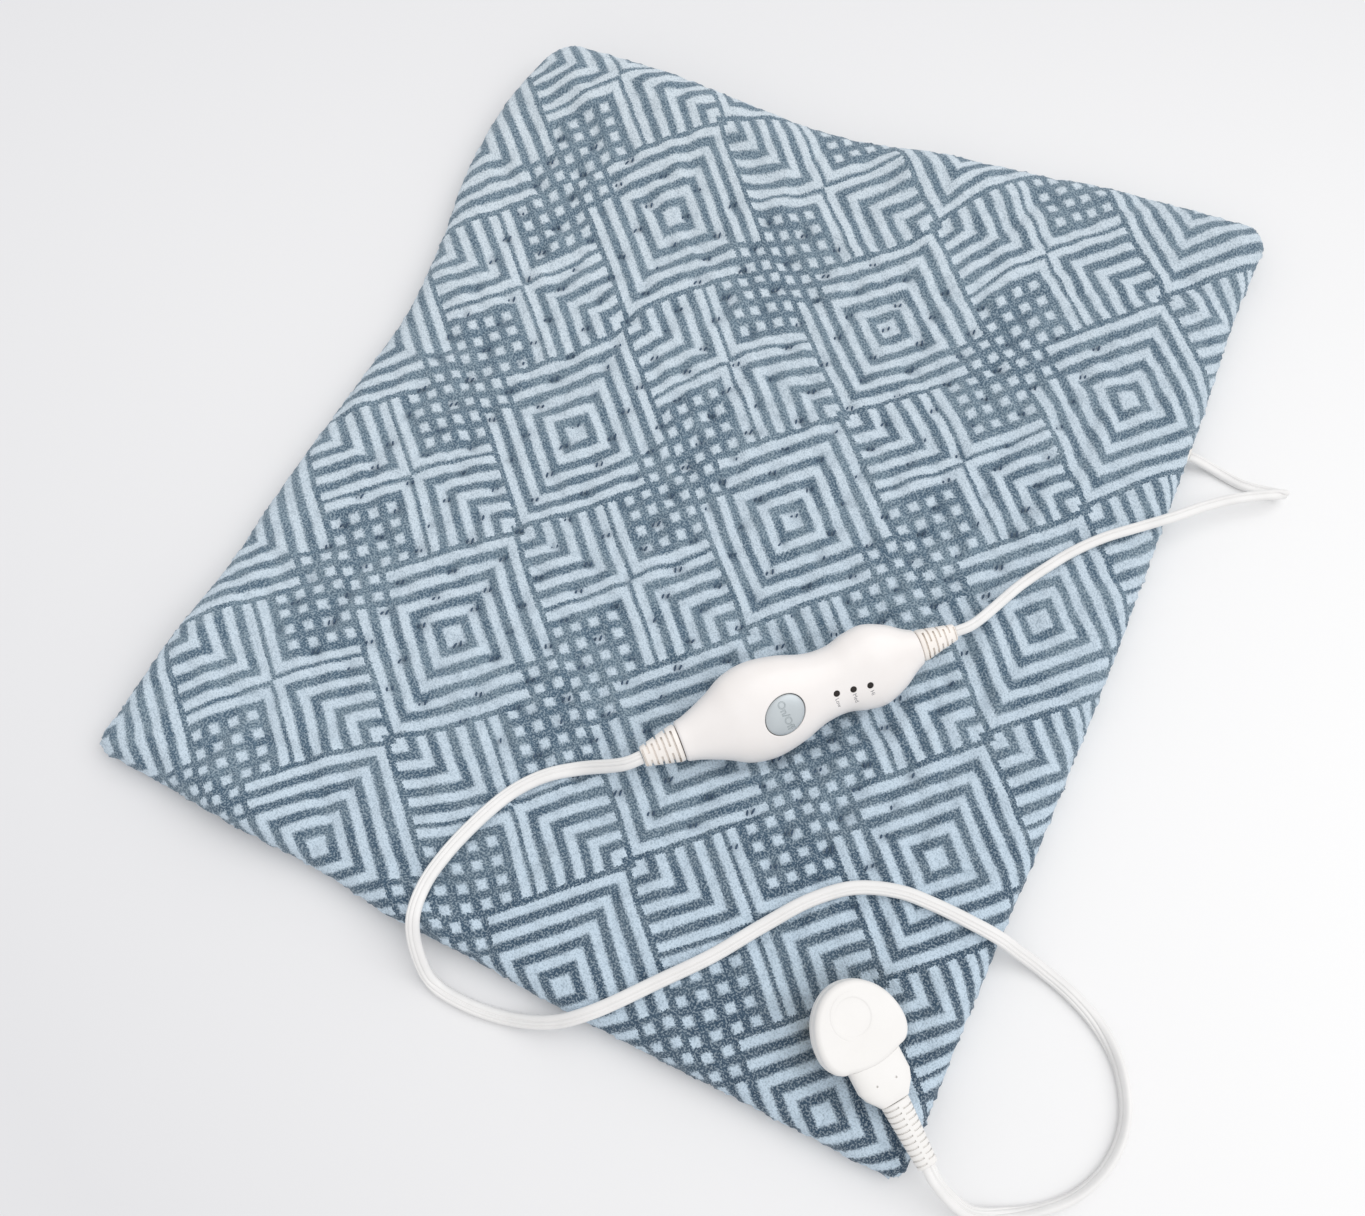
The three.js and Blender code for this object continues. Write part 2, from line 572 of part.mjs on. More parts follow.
// The housing's outer shape, or with an inset its hollow
function housingBody(inset) {
  const [rings, sides] = inset ? [HOLLOW_RINGS, HOLLOW_SIDES] : [HOUSING_RINGS, HOUSING_SIDES];
  const places = evenly(inset - housingRear, housingEnd - inset, rings);
  return skin(
    places.map((x) => {
      const { halfWidth, crown, belly } = housingAt(x);
      return section(x, halfWidth - inset, crown - inset, belly - inset, sides, SECTION_POWER);
    }),
  );
}

// Half of a shape, above or below the joint between the two covers
function halfSpace(sign) {
  const height = HOUSING.crown + HOUSING.belly;
  return block(0, 0, (sign * (height + GAP)) / 2, 2 * HOUSING.length, 2 * HOUSING.width, height);
}

const buttonX = alongHousing(placeShares.button);
const lightPlaces = LIGHT_NAMES.map((_, i) => [
  alongHousing(placeShares.firstLight + i * placeShares.lightPitch),
  LIGHT.aside + i * LIGHT.drift,
]);
const screwPlaces = [placeShares.rearScrew, placeShares.frontScrew].map(alongHousing);
const [boardStart, boardEnd] = [placeShares.boardStart, placeShares.boardEnd].map(alongHousing);
const boardSeat = BOARD.top + GAP;

// A stack of ovals in the button's place and turn, grown by a reach all round
const buttonStack = (levels) =>
  ovalStack(levels.map(([z, reach]) => [z, BUTTON.length + 2 * reach, BUTTON.width + 2 * reach]), BUTTON_SIDES)
    .rotateZ(BUTTON_TURN)
    .translate(buttonX, BUTTON.aside, 0);

function topCover() {
  const shell = cut(solid(housingBody(0)), [housingBody(HOUSING.wall)]).intersect(solid(halfSpace(1)));
  const inside = HOUSING.crown - HOUSING.wall;
  const collarLow = BUTTON_FLANGE.top + GAP;
  const reach = BUTTON.clearance + BUTTON_FLANGE.collar;
  const collar = buttonStack([collarLow, inside].map((z) => [z, reach]));
  const posts = screwPlaces.map((x) => bar(x, 0, GAP / 2, housingAt(x).crown - HOUSING.wall / 2, SCREWS.post));
  const opening = buttonStack([GAP, HOUSING.crown + OVERRUN].map((z) => [z, BUTTON.clearance]));
  const windows = lightPlaces.map(([x, y]) =>
    bar(x, y, LIGHT.top, HOUSING.crown + OVERRUN, LIGHT.hole / 2, LIGHT_SIDES),
  );
  const pilots = screwPlaces.map((x) => bar(x, 0, -OVERRUN, SCREWS.depth + GAP, SCREWS.radius + GAP));
  return cut(join(shell, [collar, ...posts]), [opening, ...windows, ...pilots, ...reliefOpenings()]);
}

function bottomCover() {
  const shell = cut(solid(housingBody(0)), [housingBody(HOUSING.wall)]).intersect(solid(halfSpace(-1)));
  const floor = (x) => HOUSING.wall / 2 - housingAt(x).belly;
  const posts = screwPlaces.map((x) => bar(x, 0, floor(x), -GAP / 2, SCREWS.post));
  const boardX = [boardStart + BOARD.postInset, boardEnd - BOARD.postInset];
  const boardY = BOARD.width / 2 - BOARD.postInset;
  const boardPosts = boardX.flatMap((x) =>
    [-boardY, boardY].map((y) => bar(x, y, floor(x), BOARD.top - BOARD.thickness - GAP, BOARD.postRadius)),
  );
  const holes = screwPlaces.flatMap((x) => [
    bar(x, 0, -HOUSING.belly, OVERRUN, SCREWS.radius + GAP),
    bar(x, 0, -HOUSING.belly - OVERRUN, screwHeadTop(x) + GAP, SCREWS.head + GAP),
  ]);
  return cut(join(shell, [...posts, ...boardPosts]), [...holes, ...reliefOpenings()]);
}

const screwHeadTop = (x) => SCREWS.recess + SCREWS.headHeight - housingAt(x).belly;

function housingScrew(x) {
  const top = screwHeadTop(x);
  const levels = [
    [top - SCREWS.headHeight, SCREWS.head],
    [top, SCREWS.head],
    [top, SCREWS.radius],
    [SCREWS.depth, SCREWS.radius],
  ];
  return ovalStack(levels.map(([z, radius]) => [z, 2 * radius, 2 * radius]), POST_SIDES).translate(x, 0, 0);
}

// Button: nub over the switch, flange under the cover, wall and dome
function powerButton() {
  const flangeLow = BUTTON_FLANGE.top - BUTTON_FLANGE.thickness;
  const plungerTop = boardSeat + SWITCH.height - SWITCH.boreDepth + SWITCH.play + SWITCH.plungerLength;
  const nub = bar(buttonX, BUTTON.aside, plungerTop + GAP, BUTTON_FLANGE.top, BUTTON.nub / 2);
  const dome = evenly(0, degrees(72), BUTTON_RINGS).map((angle) => [
    BUTTON.edge + BUTTON.dome * Math.sin(angle),
    (BUTTON.width / 2) * (Math.cos(angle) - 1),
  ]);
  const levels = [
    [flangeLow, BUTTON_FLANGE.reach],
    [BUTTON_FLANGE.top, BUTTON_FLANGE.reach],
    [BUTTON_FLANGE.top, 0],
    ...dome,
  ];
  return join(solid(buttonStack(levels)), [nub]);
}

function switchBody() {
  const body = block(0, 0, boardSeat + SWITCH.height / 2, SWITCH.side, SWITCH.side, SWITCH.height);
  const top = boardSeat + SWITCH.height;
  return cut(solid(body), [bar(0, 0, top - SWITCH.boreDepth, top + OVERRUN, SWITCH.bore / 2)]);
}

function switchPlunger() {
  const low = boardSeat + SWITCH.height - SWITCH.boreDepth + SWITCH.play;
  return bar(0, 0, low, low + SWITCH.plungerLength, SWITCH.plunger / 2);
}

// Indicator light: foot on the board, body, and a tip that stands in its window
function indicatorLight() {
  const tipWidth = LIGHT.hole - 2 * GAP;
  const rounding = tipWidth / 4;
  const levels = [
    [boardSeat, LIGHT.foot],
    [boardSeat + LIGHT.footHeight, LIGHT.foot],
    [boardSeat + LIGHT.footHeight, LIGHT.diameter],
    [LIGHT.top, LIGHT.diameter],
    [LIGHT.top, tipWidth],
    [LIGHT.tip - rounding, tipWidth],
    [LIGHT.tip, tipWidth / 2],
  ];
  return ovalStack(levels.map(([z, diameter]) => [z, diameter, diameter]), LIGHT_SIDES);
}

// Strain reliefs, drawn along X from the housing's end face outwards

// Slots from above and below, and on every second place from both flanks
function crossSlots(relief, slot) {
  const room = relief.length - relief.collar - slot.width;
  return count(Math.ceil(room / slot.pitch)).flatMap((i) => {
    const x = relief.collar + slot.width / 2 + i * slot.pitch;
    const [length, width, height] = [slot.width, relief.width, relief.height];
    if (i % 2 === 0) {
      const z = (height + slot.spine) / 2;
      return [-z, z].map((at) => block(x, 0, at, length, 2 * width, height));
    }
    const y = (width + slot.spine) / 2;
    return [-y, y].map((at) => block(x, at, 0, length, width, 2 * height));
  });
}

function reliefBody(relief) {
  const entries = [
    [0, relief.width, relief.height],
    [relief.collar, relief.width, relief.height],
    [relief.length, relief.endWidth, relief.endHeight],
  ];
  return loft(entries, RELIEF_SIDES, SECTION_POWER);
}

// A controller relief with its neck through the end wall and its plate inside, at one end of the housing
function controllerRelief(relief, side) {
  const wall = HOUSING.wall + 2 * GAP;
  const inside = housingAt(side * (side > 0 ? housingEnd : housingRear) - side * HOUSING.wall);
  const inset = 2 * (HOUSING.wall + RELIEF_NECK.plateInset);
  const plateHeight = 2 * Math.min(inside.crown, inside.belly) - inset;
  const neck = loft(
    [-wall - OVERRUN, OVERRUN].map((x) => [x, RELIEF_NECK.width, RELIEF_NECK.height]),
    RELIEF_SIDES,
    SECTION_POWER,
  );
  const plate = loft(
    [-wall - RELIEF_NECK.plate, -wall].map((x) => [x, 2 * inside.halfWidth - inset, plateHeight]),
    RELIEF_SIDES,
    SECTION_POWER,
  );
  return placeRelief(geometryOf(cut(join(solid(reliefBody(relief)), [neck, plate]), crossSlots(relief, RELIEF_SLOT))), side);
}

function placeRelief(geometry, side) {
  const end = side > 0 ? housingEnd : housingRear;
  return geometry.translate(end + GAP, 0, 0).rotateZ(side > 0 ? 0 : Math.PI);
}

// Openings in the end walls for the necks of the two reliefs
function reliefOpenings() {
  const size = [RELIEF_NECK.width + 2 * GAP, RELIEF_NECK.height + 2 * GAP];
  return [-1, 1].map((side) => {
    const reach = HOUSING.wall + OVERRUN;
    return placeRelief(loft([[-reach - GAP, ...size], [OVERRUN, ...size]], RELIEF_SIDES, SECTION_POWER), side);
  });
}

// Round wire along X between two places
const coreWire = (from, to, y) =>
  loft([from, to].map((x) => [x, CORE.diameter, CORE.diameter]), CORE_SIDES).translate(0, y, CORE.height);

const alongBoard = (share) => lerp(boardStart, boardEnd, share);

function onBoard(x, { y, length, width, height }) {
  return block(x, y, boardSeat + height / 2, length, width, height);
}

function buildController() {
  const group = new THREE.Group();
  group.position.set(CONTROLLER.x, CONTROLLER.y, 0);
  group.rotation.set(CONTROLLER_TURN.roll, CONTROLLER_TURN.pitch, CONTROLLER_TURN.yaw, "ZYX");
  const add = (name, geometry, material) => group.add(named(name, geometry, material));
  add("controller_top_cover", geometryOf(topCover()), whitePlastic);
  add("controller_bottom_cover", geometryOf(bottomCover()), whitePlastic);
  add("power_button", geometryOf(powerButton()), buttonPlastic);
  const boardZ = BOARD.top - BOARD.thickness / 2;
  const boardLength = boardEnd - boardStart;
  add("circuit_board", block((boardStart + boardEnd) / 2, 0, boardZ, boardLength, BOARD.width, BOARD.thickness), boardGreen);
  add("tact_switch_body", geometryOf(switchBody()).translate(buttonX, BUTTON.aside, 0), darkPlastic);
  add("tact_switch_plunger", switchPlunger().translate(buttonX, BUTTON.aside, 0), darkPlastic);
  LIGHT_NAMES.forEach((name, i) =>
    add(`led_${name}`, indicatorLight().translate(...lightPlaces[i], 0), smokedLens),
  );
  add("triac", onBoard(alongBoard(boardPlaceShares.triac), TRIAC), darkPlastic);
  const fuse = loft(
    [-FUSE.length / 2, FUSE.length / 2].map((x) => [x, FUSE.diameter, FUSE.diameter]),
    LIGHT_SIDES,
  );
  const fuseX = alongBoard(boardPlaceShares.fuse);
  add("fuse", fuse.translate(fuseX, FUSE.y, boardSeat + FUSE.diameter / 2), steel);
  add("capacitor", onBoard(alongBoard(boardPlaceShares.capacitor), CAPACITOR), darkPlastic);
  add("control_chip", onBoard(alongBoard(boardPlaceShares.chip), CHIP), darkPlastic);
  const rearX = boardStart + TERMINAL.inset;
  const frontX = boardEnd - TERMINAL.inset;
  add("mains_terminal", onBoard(rearX + TERMINAL.length / 2, { ...TERMINAL, y: 0 }), boardGreen);
  add("pad_terminal", onBoard(frontX - TERMINAL.length / 2, { ...TERMINAL, y: 0 }), boardGreen);
  const plateFace = HOUSING.wall + 2 * GAP + RELIEF_NECK.plate;
  const rearPlate = plateFace - housingRear;
  const frontPlate = housingEnd - plateFace;
  [-CORE.spread, CORE.spread].forEach((y, i) => {
    add(`mains_wire_${i + 1}`, coreWire(rearPlate, rearX - GAP, y), darkPlastic);
    add(`pad_wire_${i + 1}`, coreWire(frontX + GAP, frontPlate, y), darkPlastic);
  });
  add("housing_screw_rear", housingScrew(screwPlaces[0]), steel);
  add("housing_screw_front", housingScrew(screwPlaces[1]), steel);
  add("strain_relief_mains", controllerRelief(MAINS_RELIEF, -1), whitePlastic);
  add("strain_relief_pad", controllerRelief(PAD_RELIEF, 1), whitePlastic);
  return group;
}

// Plug

// Plan outline of the plug's head, grown by a reach all round
function headOutline(reach) {
  const nose = HEAD.middle - HEAD.nose + reach;
  const half = HEAD.width / 2 + reach;
  const backHalf = HEAD.backWidth / 2;
  const front = evenly(Math.PI / 2, (3 * Math.PI) / 2, HEAD_SIDES / 2).map(
    (angle) => new THREE.Vector2(HEAD.middle + nose * Math.cos(angle), half * Math.sin(angle)),
  );
  const corner = (sign, angles) =>
    angles.map(
      (angle) =>
        new THREE.Vector2(
          HEAD.middle + (HEAD.back - HEAD.middle + reach) * Math.sin(angle),
          sign * (backHalf + (half - backHalf) * Math.cos(angle)),
        ),
    );
  const cells = HEAD_SIDES / 9;
  const turn = evenly(0, Math.PI / 2, cells);
  const middle = [0.5, 0, -0.5].map((side) => {
    const bulge = HEAD.bulge * Math.cos(side * Math.PI);
    return new THREE.Vector2(HEAD.back + reach + bulge, -2 * side * backHalf);
  });
  return [...front, ...corner(-1, turn.slice(1, -1)), ...middle, ...corner(1, turn.slice(1, -1).reverse())];
}

const headRing = (z, reach) => headOutline(reach).map(({ x, y }) => new THREE.Vector3(x, y, z));

function plugHead() {
  const half = HEAD.thickness / 2;
  const edge = evenly(0, Math.PI / 2, HEAD_EDGE_RINGS).map((angle) => ({
    z: half - HEAD.edge * (1 - Math.sin(angle)),
    reach: HEAD.edge * (Math.cos(angle) - 1),
  }));
  const rings = [
    ...edge.toReversed().map(({ z, reach }) => headRing(-z, reach)),
    ...edge.map(({ z, reach }) => headRing(z, reach)),
  ];
  const pocket = bar(CARRIER.x, 0, -half - OVERRUN, CARRIER.depth - half + GAP, CARRIER.diameter / 2 + GAP, HEAD_SIDES);
  return cut(solid(skin(rings)), [pocket]);
}

function plugNeck() {
  const half = HEAD.thickness / 2 + OVERRUN;
  const entries = [
    [NECK.start, NECK_WIDTH.full, NECK.thickness],
    [NECK.full, NECK_WIDTH.full, NECK.thickness],
    [NECK.shoulder, NECK_WIDTH.shoulder, NECK.thickness],
    [NECK.end, NECK_WIDTH.end, NECK.endThickness],
  ];
  const neck = loft(entries, HOUSING_SIDES, SECTION_POWER);
  return cut(solid(neck), [skin([headRing(-half, GAP), headRing(half, GAP)])]);
}

function plugBlade() {
  const top = BLADE.root - HEAD.thickness / 2;
  const low = -HEAD.thickness / 2 - BLADE.length;
  const middle = (top + low) / 2;
  const hole = bar(0, 0, -BLADE.thickness, BLADE.thickness, BLADE.hole / 2)
    .rotateX(Math.PI / 2)
    .translate(0, 0, -HEAD.thickness / 2 - BLADE.holeDown);
  return cut(solid(block(0, 0, middle, BLADE.width, BLADE.thickness, top - low)), [hole]);
}

function plugCore() {
  const low = -HEAD.thickness / 2;
  const disc = bar(0, 0, low, low + CARRIER.depth, CARRIER.diameter / 2, HEAD_SIDES);
  const top = low + BLADE.root + GAP;
  const height = BLADE.root + GAP + OVERRUN;
  const slots = [-1, 1].map((side) =>
    block(
      0,
      (side * BLADE.spacing) / 2,
      top - height / 2,
      BLADE.width + 2 * GAP,
      BLADE.thickness + 2 * GAP,
      height,
    ),
  );
  return cut(solid(disc), slots);
}

// Slots from either flank in turn, down to a spine in the middle
function plugRelief() {
  const room = PLUG_RELIEF.length - PLUG_RELIEF.collar - PLUG_SLOT.width;
  const slots = count(Math.floor((2 * room) / PLUG_SLOT.pitch)).map((i) => {
    const x = PLUG_RELIEF.collar + (i * PLUG_SLOT.pitch) / 2 + PLUG_SLOT.width / 2;
    const y = ((i % 2 ? 1 : -1) * (PLUG_RELIEF.width + PLUG_SLOT.spine)) / 2;
    return block(x, y, 0, PLUG_SLOT.width, PLUG_RELIEF.width, 2 * PLUG_RELIEF.height);
  });
  return geometryOf(cut(solid(reliefBody(PLUG_RELIEF)), slots)).translate(NECK.end + GAP, 0, 0);
}

function buildPlug() {
  const group = new THREE.Group();
  group.position.set(PLUG.x, PLUG.y, 0);
  group.rotation.set(PLUG_TURN.roll, PLUG_TURN.pitch, PLUG_TURN.yaw, "ZYX");
  const add = (name, geometry, material) => group.add(named(name, geometry, material));
  add("plug_head", geometryOf(plugHead()), whitePlastic);
  add("plug_neck", geometryOf(plugNeck()), whitePlastic);
  add("plug_core", geometryOf(plugCore()).translate(CARRIER.x, 0, 0), darkPlastic);
  const reach = BLADE.spacing / 2;
  add("plug_blade_left", geometryOf(plugBlade()).translate(CARRIER.x, reach, 0), brass);
  add("plug_blade_right", geometryOf(plugBlade()).translate(CARRIER.x, -reach, 0), brass);
  add("plug_strain_relief", plugRelief(), whitePlastic);
  return group;
}

// Lowers or raises a group until it lies on the pad with the usual gap
function seat(group) {
  group.updateMatrixWorld(true);
  let rise = -Infinity;
  for (const mesh of group.children) {
    const position = mesh.geometry.attributes.position;
    for (const i of count(position.count)) {
      const spot = new THREE.Vector3().fromBufferAttribute(position, i).applyMatrix4(mesh.matrixWorld);
      rise = Math.max(rise, heightOn(padNodes, (node) => node.topside, spot.x, spot.y) - spot.z);
    }
  }
  group.position.z += rise + GAP;
  group.updateMatrixWorld(true);
}

// Leads

// Frames of a flat lead: level where it lies free, turned with what holds it at each end
function leadFrames(curve, steps, endUps) {
  const length = curve.getLength();
  const tangents = count(steps + 1).map((i) => curve.getTangentAt(i / steps));
  const level = (vector, tangent) => vector.clone().projectOnPlane(tangent).normalize();
  const normals = [];
  for (const tangent of tangents) {
    const carried = level(normals.length ? normals[normals.length - 1] : up, tangent);
    const flat = level(up, tangent).multiplyScalar(Math.sign(carried.z) || 1);
    normals.push(carried.lerp(flat, Math.max(0, 1 - 2 * Math.abs(tangent.z))).normalize());
  }
  const rolls = [0, steps].map((i, end) => {
    const wanted = level(endUps[end], tangents[i]);
    const across = tangents[i].clone().cross(normals[i]);
    const roll = Math.atan2(wanted.dot(across), wanted.dot(normals[i]));
    return Math.abs(roll) > Math.PI / 2 ? roll - Math.sign(roll) * Math.PI : roll;
  });
  const fade = (distance) => THREE.MathUtils.smoothstep(LEAD_TWIST - distance, 0, LEAD_TWIST);
  normals.forEach((normal, i) => {
    const along = (length * i) / steps;
    normal.applyAxisAngle(tangents[i], rolls[0] * fade(along) + rolls[1] * fade(length - along));
  });
  const binormals = normals.map((normal, i) => tangents[i].clone().cross(normal));
  return { tangents, normals, binormals };
}

function leadGeometry(points, lead, steps, endUps) {
  const curve = new THREE.CatmullRomCurve3(points, false, "centripetal");
  curve.computeFrenetFrames = () => leadFrames(curve, steps, endUps);
  const [thick, wide] = [lead.thickness / 2, lead.width / 2];
  const shoulder = wide - shoulderShare * lead.thickness;
  const corners = [[thick, shoulder], [thick / 2, wide], [-thick / 2, wide], [-thick, shoulder]];
  const outline = [...corners, ...corners.map(([x, y]) => [-x, -y])];
  const shape = new THREE.Shape(outline.map(([x, y]) => new THREE.Vector2(x, y)));
  return new THREE.ExtrudeGeometry(shape, { steps, extrudePath: curve });
}

const upOf = (group) => up.clone().transformDirection(group.matrixWorld);

// The two points of the straight stretch at a relief's end, from the relief outwards
const leadEnd = (group, x, side) =>
  [GAP, GAP + LEAD_STRAIGHT].map((reach) => group.localToWorld(new THREE.Vector3(x + side * reach, 0, 0)));

const routePoints = (route) => route.map(([x, y, z]) => new THREE.Vector3(x, y, z));

const pad = buildPad();
const controller = buildController();
const plug = buildPlug();
seat(controller);
seat(plug);

const mainsStart = leadEnd(controller, -housingRear - GAP - MAINS_RELIEF.length, -1);
const mainsFinish = leadEnd(plug, NECK.end + GAP + PLUG_RELIEF.length, 1).reverse();
const padStart = leadEnd(pad, entryOuterX, 1).map((point) => point.add(new THREE.Vector3(0, ENTRY.y, entryZ)));
const padFinish = leadEnd(controller, housingEnd + GAP + PAD_RELIEF.length, 1).reverse();

const mainsLead = leadGeometry(
  [...mainsStart, ...routePoints(MAINS_ROUTE), ...mainsFinish],
  MAINS_LEAD,
  MAINS_LEAD_STEPS,
  [upOf(controller), upOf(plug)],
);
const padLead = leadGeometry(
  [...padStart, ...routePoints(PAD_ROUTE), ...padFinish],
  PAD_LEAD,
  PAD_LEAD_STEPS,
  [up, upOf(controller)],
);

const heatingPad = new THREE.Group();
heatingPad.add(pad, controller, plug);
heatingPad.add(named("mains_lead", mainsLead, leadVinyl));
heatingPad.add(named("pad_lead", padLead, leadVinyl));

export default heatingPad;
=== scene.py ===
"""Looks of a heating pad with a hand controller, two leads and a mains plug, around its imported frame.

Sizes in the classes are millimetres, +Z up, with the origin in the middle of the pad's footprint.
Meshes are written in metres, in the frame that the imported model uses.
"""

from __future__ import annotations

import json
import logging
import math
from collections.abc import Callable, Sequence
from dataclasses import dataclass, field
from enum import Enum

import bpy
import numpy as np
from mathutils import Euler, Matrix, Vector

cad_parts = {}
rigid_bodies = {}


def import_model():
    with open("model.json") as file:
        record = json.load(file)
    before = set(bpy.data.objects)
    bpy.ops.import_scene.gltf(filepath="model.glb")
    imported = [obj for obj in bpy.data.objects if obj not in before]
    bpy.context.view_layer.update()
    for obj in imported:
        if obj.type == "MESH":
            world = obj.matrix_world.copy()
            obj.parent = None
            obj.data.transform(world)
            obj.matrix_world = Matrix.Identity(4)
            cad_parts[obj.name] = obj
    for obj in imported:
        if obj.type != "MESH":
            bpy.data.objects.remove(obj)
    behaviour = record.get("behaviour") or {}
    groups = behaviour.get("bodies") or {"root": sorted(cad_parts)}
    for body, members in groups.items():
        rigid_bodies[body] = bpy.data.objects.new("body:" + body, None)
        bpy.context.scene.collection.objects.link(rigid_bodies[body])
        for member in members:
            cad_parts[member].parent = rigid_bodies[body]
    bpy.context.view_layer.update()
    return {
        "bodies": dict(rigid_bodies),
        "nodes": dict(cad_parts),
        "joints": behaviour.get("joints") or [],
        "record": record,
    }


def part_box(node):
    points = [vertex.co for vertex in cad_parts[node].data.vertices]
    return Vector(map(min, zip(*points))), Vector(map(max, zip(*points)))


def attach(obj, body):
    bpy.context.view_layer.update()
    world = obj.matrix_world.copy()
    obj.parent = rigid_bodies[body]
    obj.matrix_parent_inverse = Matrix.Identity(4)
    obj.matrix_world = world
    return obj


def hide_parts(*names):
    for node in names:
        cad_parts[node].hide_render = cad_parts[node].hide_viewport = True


LOG = logging.getLogger("heating_pad")
MM = 0.001
SEED = 7
SMALLEST = 1e-12
CAPITAL_SHARE = 0.73

Array = np.ndarray
Rows = Sequence[Sequence[float]]


def srgb(text: str) -> tuple[float, float, float, float]:
    """Gives the linear colour of a six-digit hexadecimal one.

    Args:
        text: Red, green and blue as pairs of hexadecimal digits.

    Returns:
        Linear red, green, blue and an alpha of one.
    """
    parts = [int(text[i : i + 2], 16) / 255 for i in (0, 2, 4)]
    linear = [c / 12.92 if c <= 0.04045 else ((c + 0.055) / 1.055) ** 2.4 for c in parts]
    return (*linear, 1.0)


# Arithmetic on curves and tables


def station_values(places: Array, values: Array, at: Array) -> Array:
    """Reads a table of stations on the smooth curve that runs through them.

    Args:
        places: Rising places of the stations.
        values: One value for each station.
        at: Places to read.

    Returns:
        The curve's value at each place.
    """
    last = len(places) - 1
    before = np.maximum(np.arange(last + 1) - 1, 0)
    after = np.minimum(np.arange(last + 1) + 1, last)
    slopes = (values[after] - values[before]) / (places[after] - places[before])
    i = np.clip(np.searchsorted(places, at, side="right") - 1, 0, last - 1)
    span = places[i + 1] - places[i]
    f = np.clip((at - places[i]) / span, 0, 1)
    rise = values[i + 1] - values[i]
    g = slopes[i] * span
    h = slopes[i + 1] * span
    return values[i] + f * (g + f * (3 * rise - 2 * g - h + f * (g + h - 2 * rise)))


def smooth_step(value: Array) -> Array:
    """Eases values from nought to one, and holds them there outside that range."""
    f = np.clip(value, 0, 1)
    return f * f * (3 - 2 * f)


def unit(vectors: Array) -> Array:
    """Scales vectors, along the last axis, to length one."""
    return vectors / np.maximum(np.linalg.norm(vectors, axis=-1, keepdims=True), SMALLEST)


def through(points: Array, cells: int) -> Array:
    """Draws one smooth curve through points, with even steps along it.

    Args:
        points: Points in order, one to a row.
        cells: How many even steps the result has.

    Returns:
        One row more than there are steps.
    """
    padded = np.vstack([2 * points[0] - points[1], points, 2 * points[-1] - points[-2]])
    gaps = np.linalg.norm(np.diff(padded, axis=0), axis=1) ** 0.5
    f = np.linspace(0, 1, 60, endpoint=False)[:, None]
    pieces = []
    for k in range(len(points) - 1):
        a, b, c, d = padded[k : k + 4]
        s, t, u = gaps[k : k + 3]
        start = ((b - a) / s - (c - a) / (s + t) + (c - b) / t) * t
        end = ((c - b) / t - (d - b) / (t + u) + (d - c) / u) * t
        rise = c - b
        pieces.append(b + f * (start + f * (3 * rise - 2 * start - end + f * (start + end - 2 * rise))))
    line = np.vstack([*pieces, points[-1:]])
    reach = np.concatenate([[0], np.cumsum(np.linalg.norm(np.diff(line, axis=0), axis=1))])
    steps = np.linspace(0, reach[-1], cells + 1)
    return np.stack([np.interp(steps, reach, line[:, k]) for k in range(3)], axis=1)


def travelled(line: Array) -> Array:
    """Gives how far along a line each of its points lies."""
    return np.concatenate([[0], np.cumsum(np.linalg.norm(np.diff(line, axis=0), axis=1))])


def spread_weights(known: int, shares: Array) -> Array:
    """Gives weights that read evenly spaced values at shares of their span, on a smooth curve.

    Args:
        known: How many evenly spaced values there are.
        shares: Where they are read, from nought to one.

    Returns:
        One row for each share and one column for each value.
    """
    weights = np.zeros((len(shares), known))
    at = np.clip(shares, 0, 1) * (known - 1)
    cell = np.minimum(at.astype(int), known - 2)
    f = at - cell
    curve = (
        -0.5 * f + f**2 - 0.5 * f**3,
        1 - 2.5 * f**2 + 1.5 * f**3,
        0.5 * f + 2 * f**2 - 1.5 * f**3,
        0.5 * (f**3 - f**2),
    )
    for step, weight in zip((-1, 0, 1, 2), curve):
        np.add.at(weights, (np.arange(len(shares)), np.clip(cell + step, 0, known - 1)), weight)
    return weights


def ripples(x: Array, y: Array, pitch: float, seed: int, waves: int = 14) -> Array:
    """Adds up waves of one length in seeded directions, for gentle unevenness.

    Args:
        x: Places across.
        y: Places along.
        pitch: Typical distance from crest to crest.
        seed: Start of the random numbers.
        waves: How many waves there are.

    Returns:
        Values around nought that mostly stay within one.
    """
    draw = np.random.default_rng(seed)
    total = np.zeros_like(x)
    for _ in range(waves):
        angle, phase, stretch = draw.uniform((0, 0, 0.7), (math.tau, math.tau, 1.5))
        pull = math.tau / (pitch * stretch)
        total += np.sin(pull * (x * math.cos(angle) + y * math.sin(angle)) + phase)
    return total / math.sqrt(waves)


# Meshes


def mesh_piece(
    name: str, points: Array, faces: Sequence[Sequence[int]], crease: float = 180
) -> bpy.types.Object:
    """Makes an object from points and faces.

    Args:
        name: Name of the object.
        points: Points in millimetres, one to a row.
        faces: Point numbers of each face, in order seen from outside.
        crease: Faces that meet at a larger angle than this, in degrees, have a hard edge.

    Returns:
        The new object, linked to the scene.
    """
    mesh = bpy.data.meshes.new(name)
    mesh.from_pydata((np.asarray(points) * MM).tolist(), [], [list(face) for face in faces])
    mesh.shade_smooth()
    if crease < 180:
        mesh.set_sharp_from_angle(angle=math.radians(crease))
    piece = bpy.data.objects.new(name, mesh)
    bpy.context.scene.collection.objects.link(piece)
    return piece


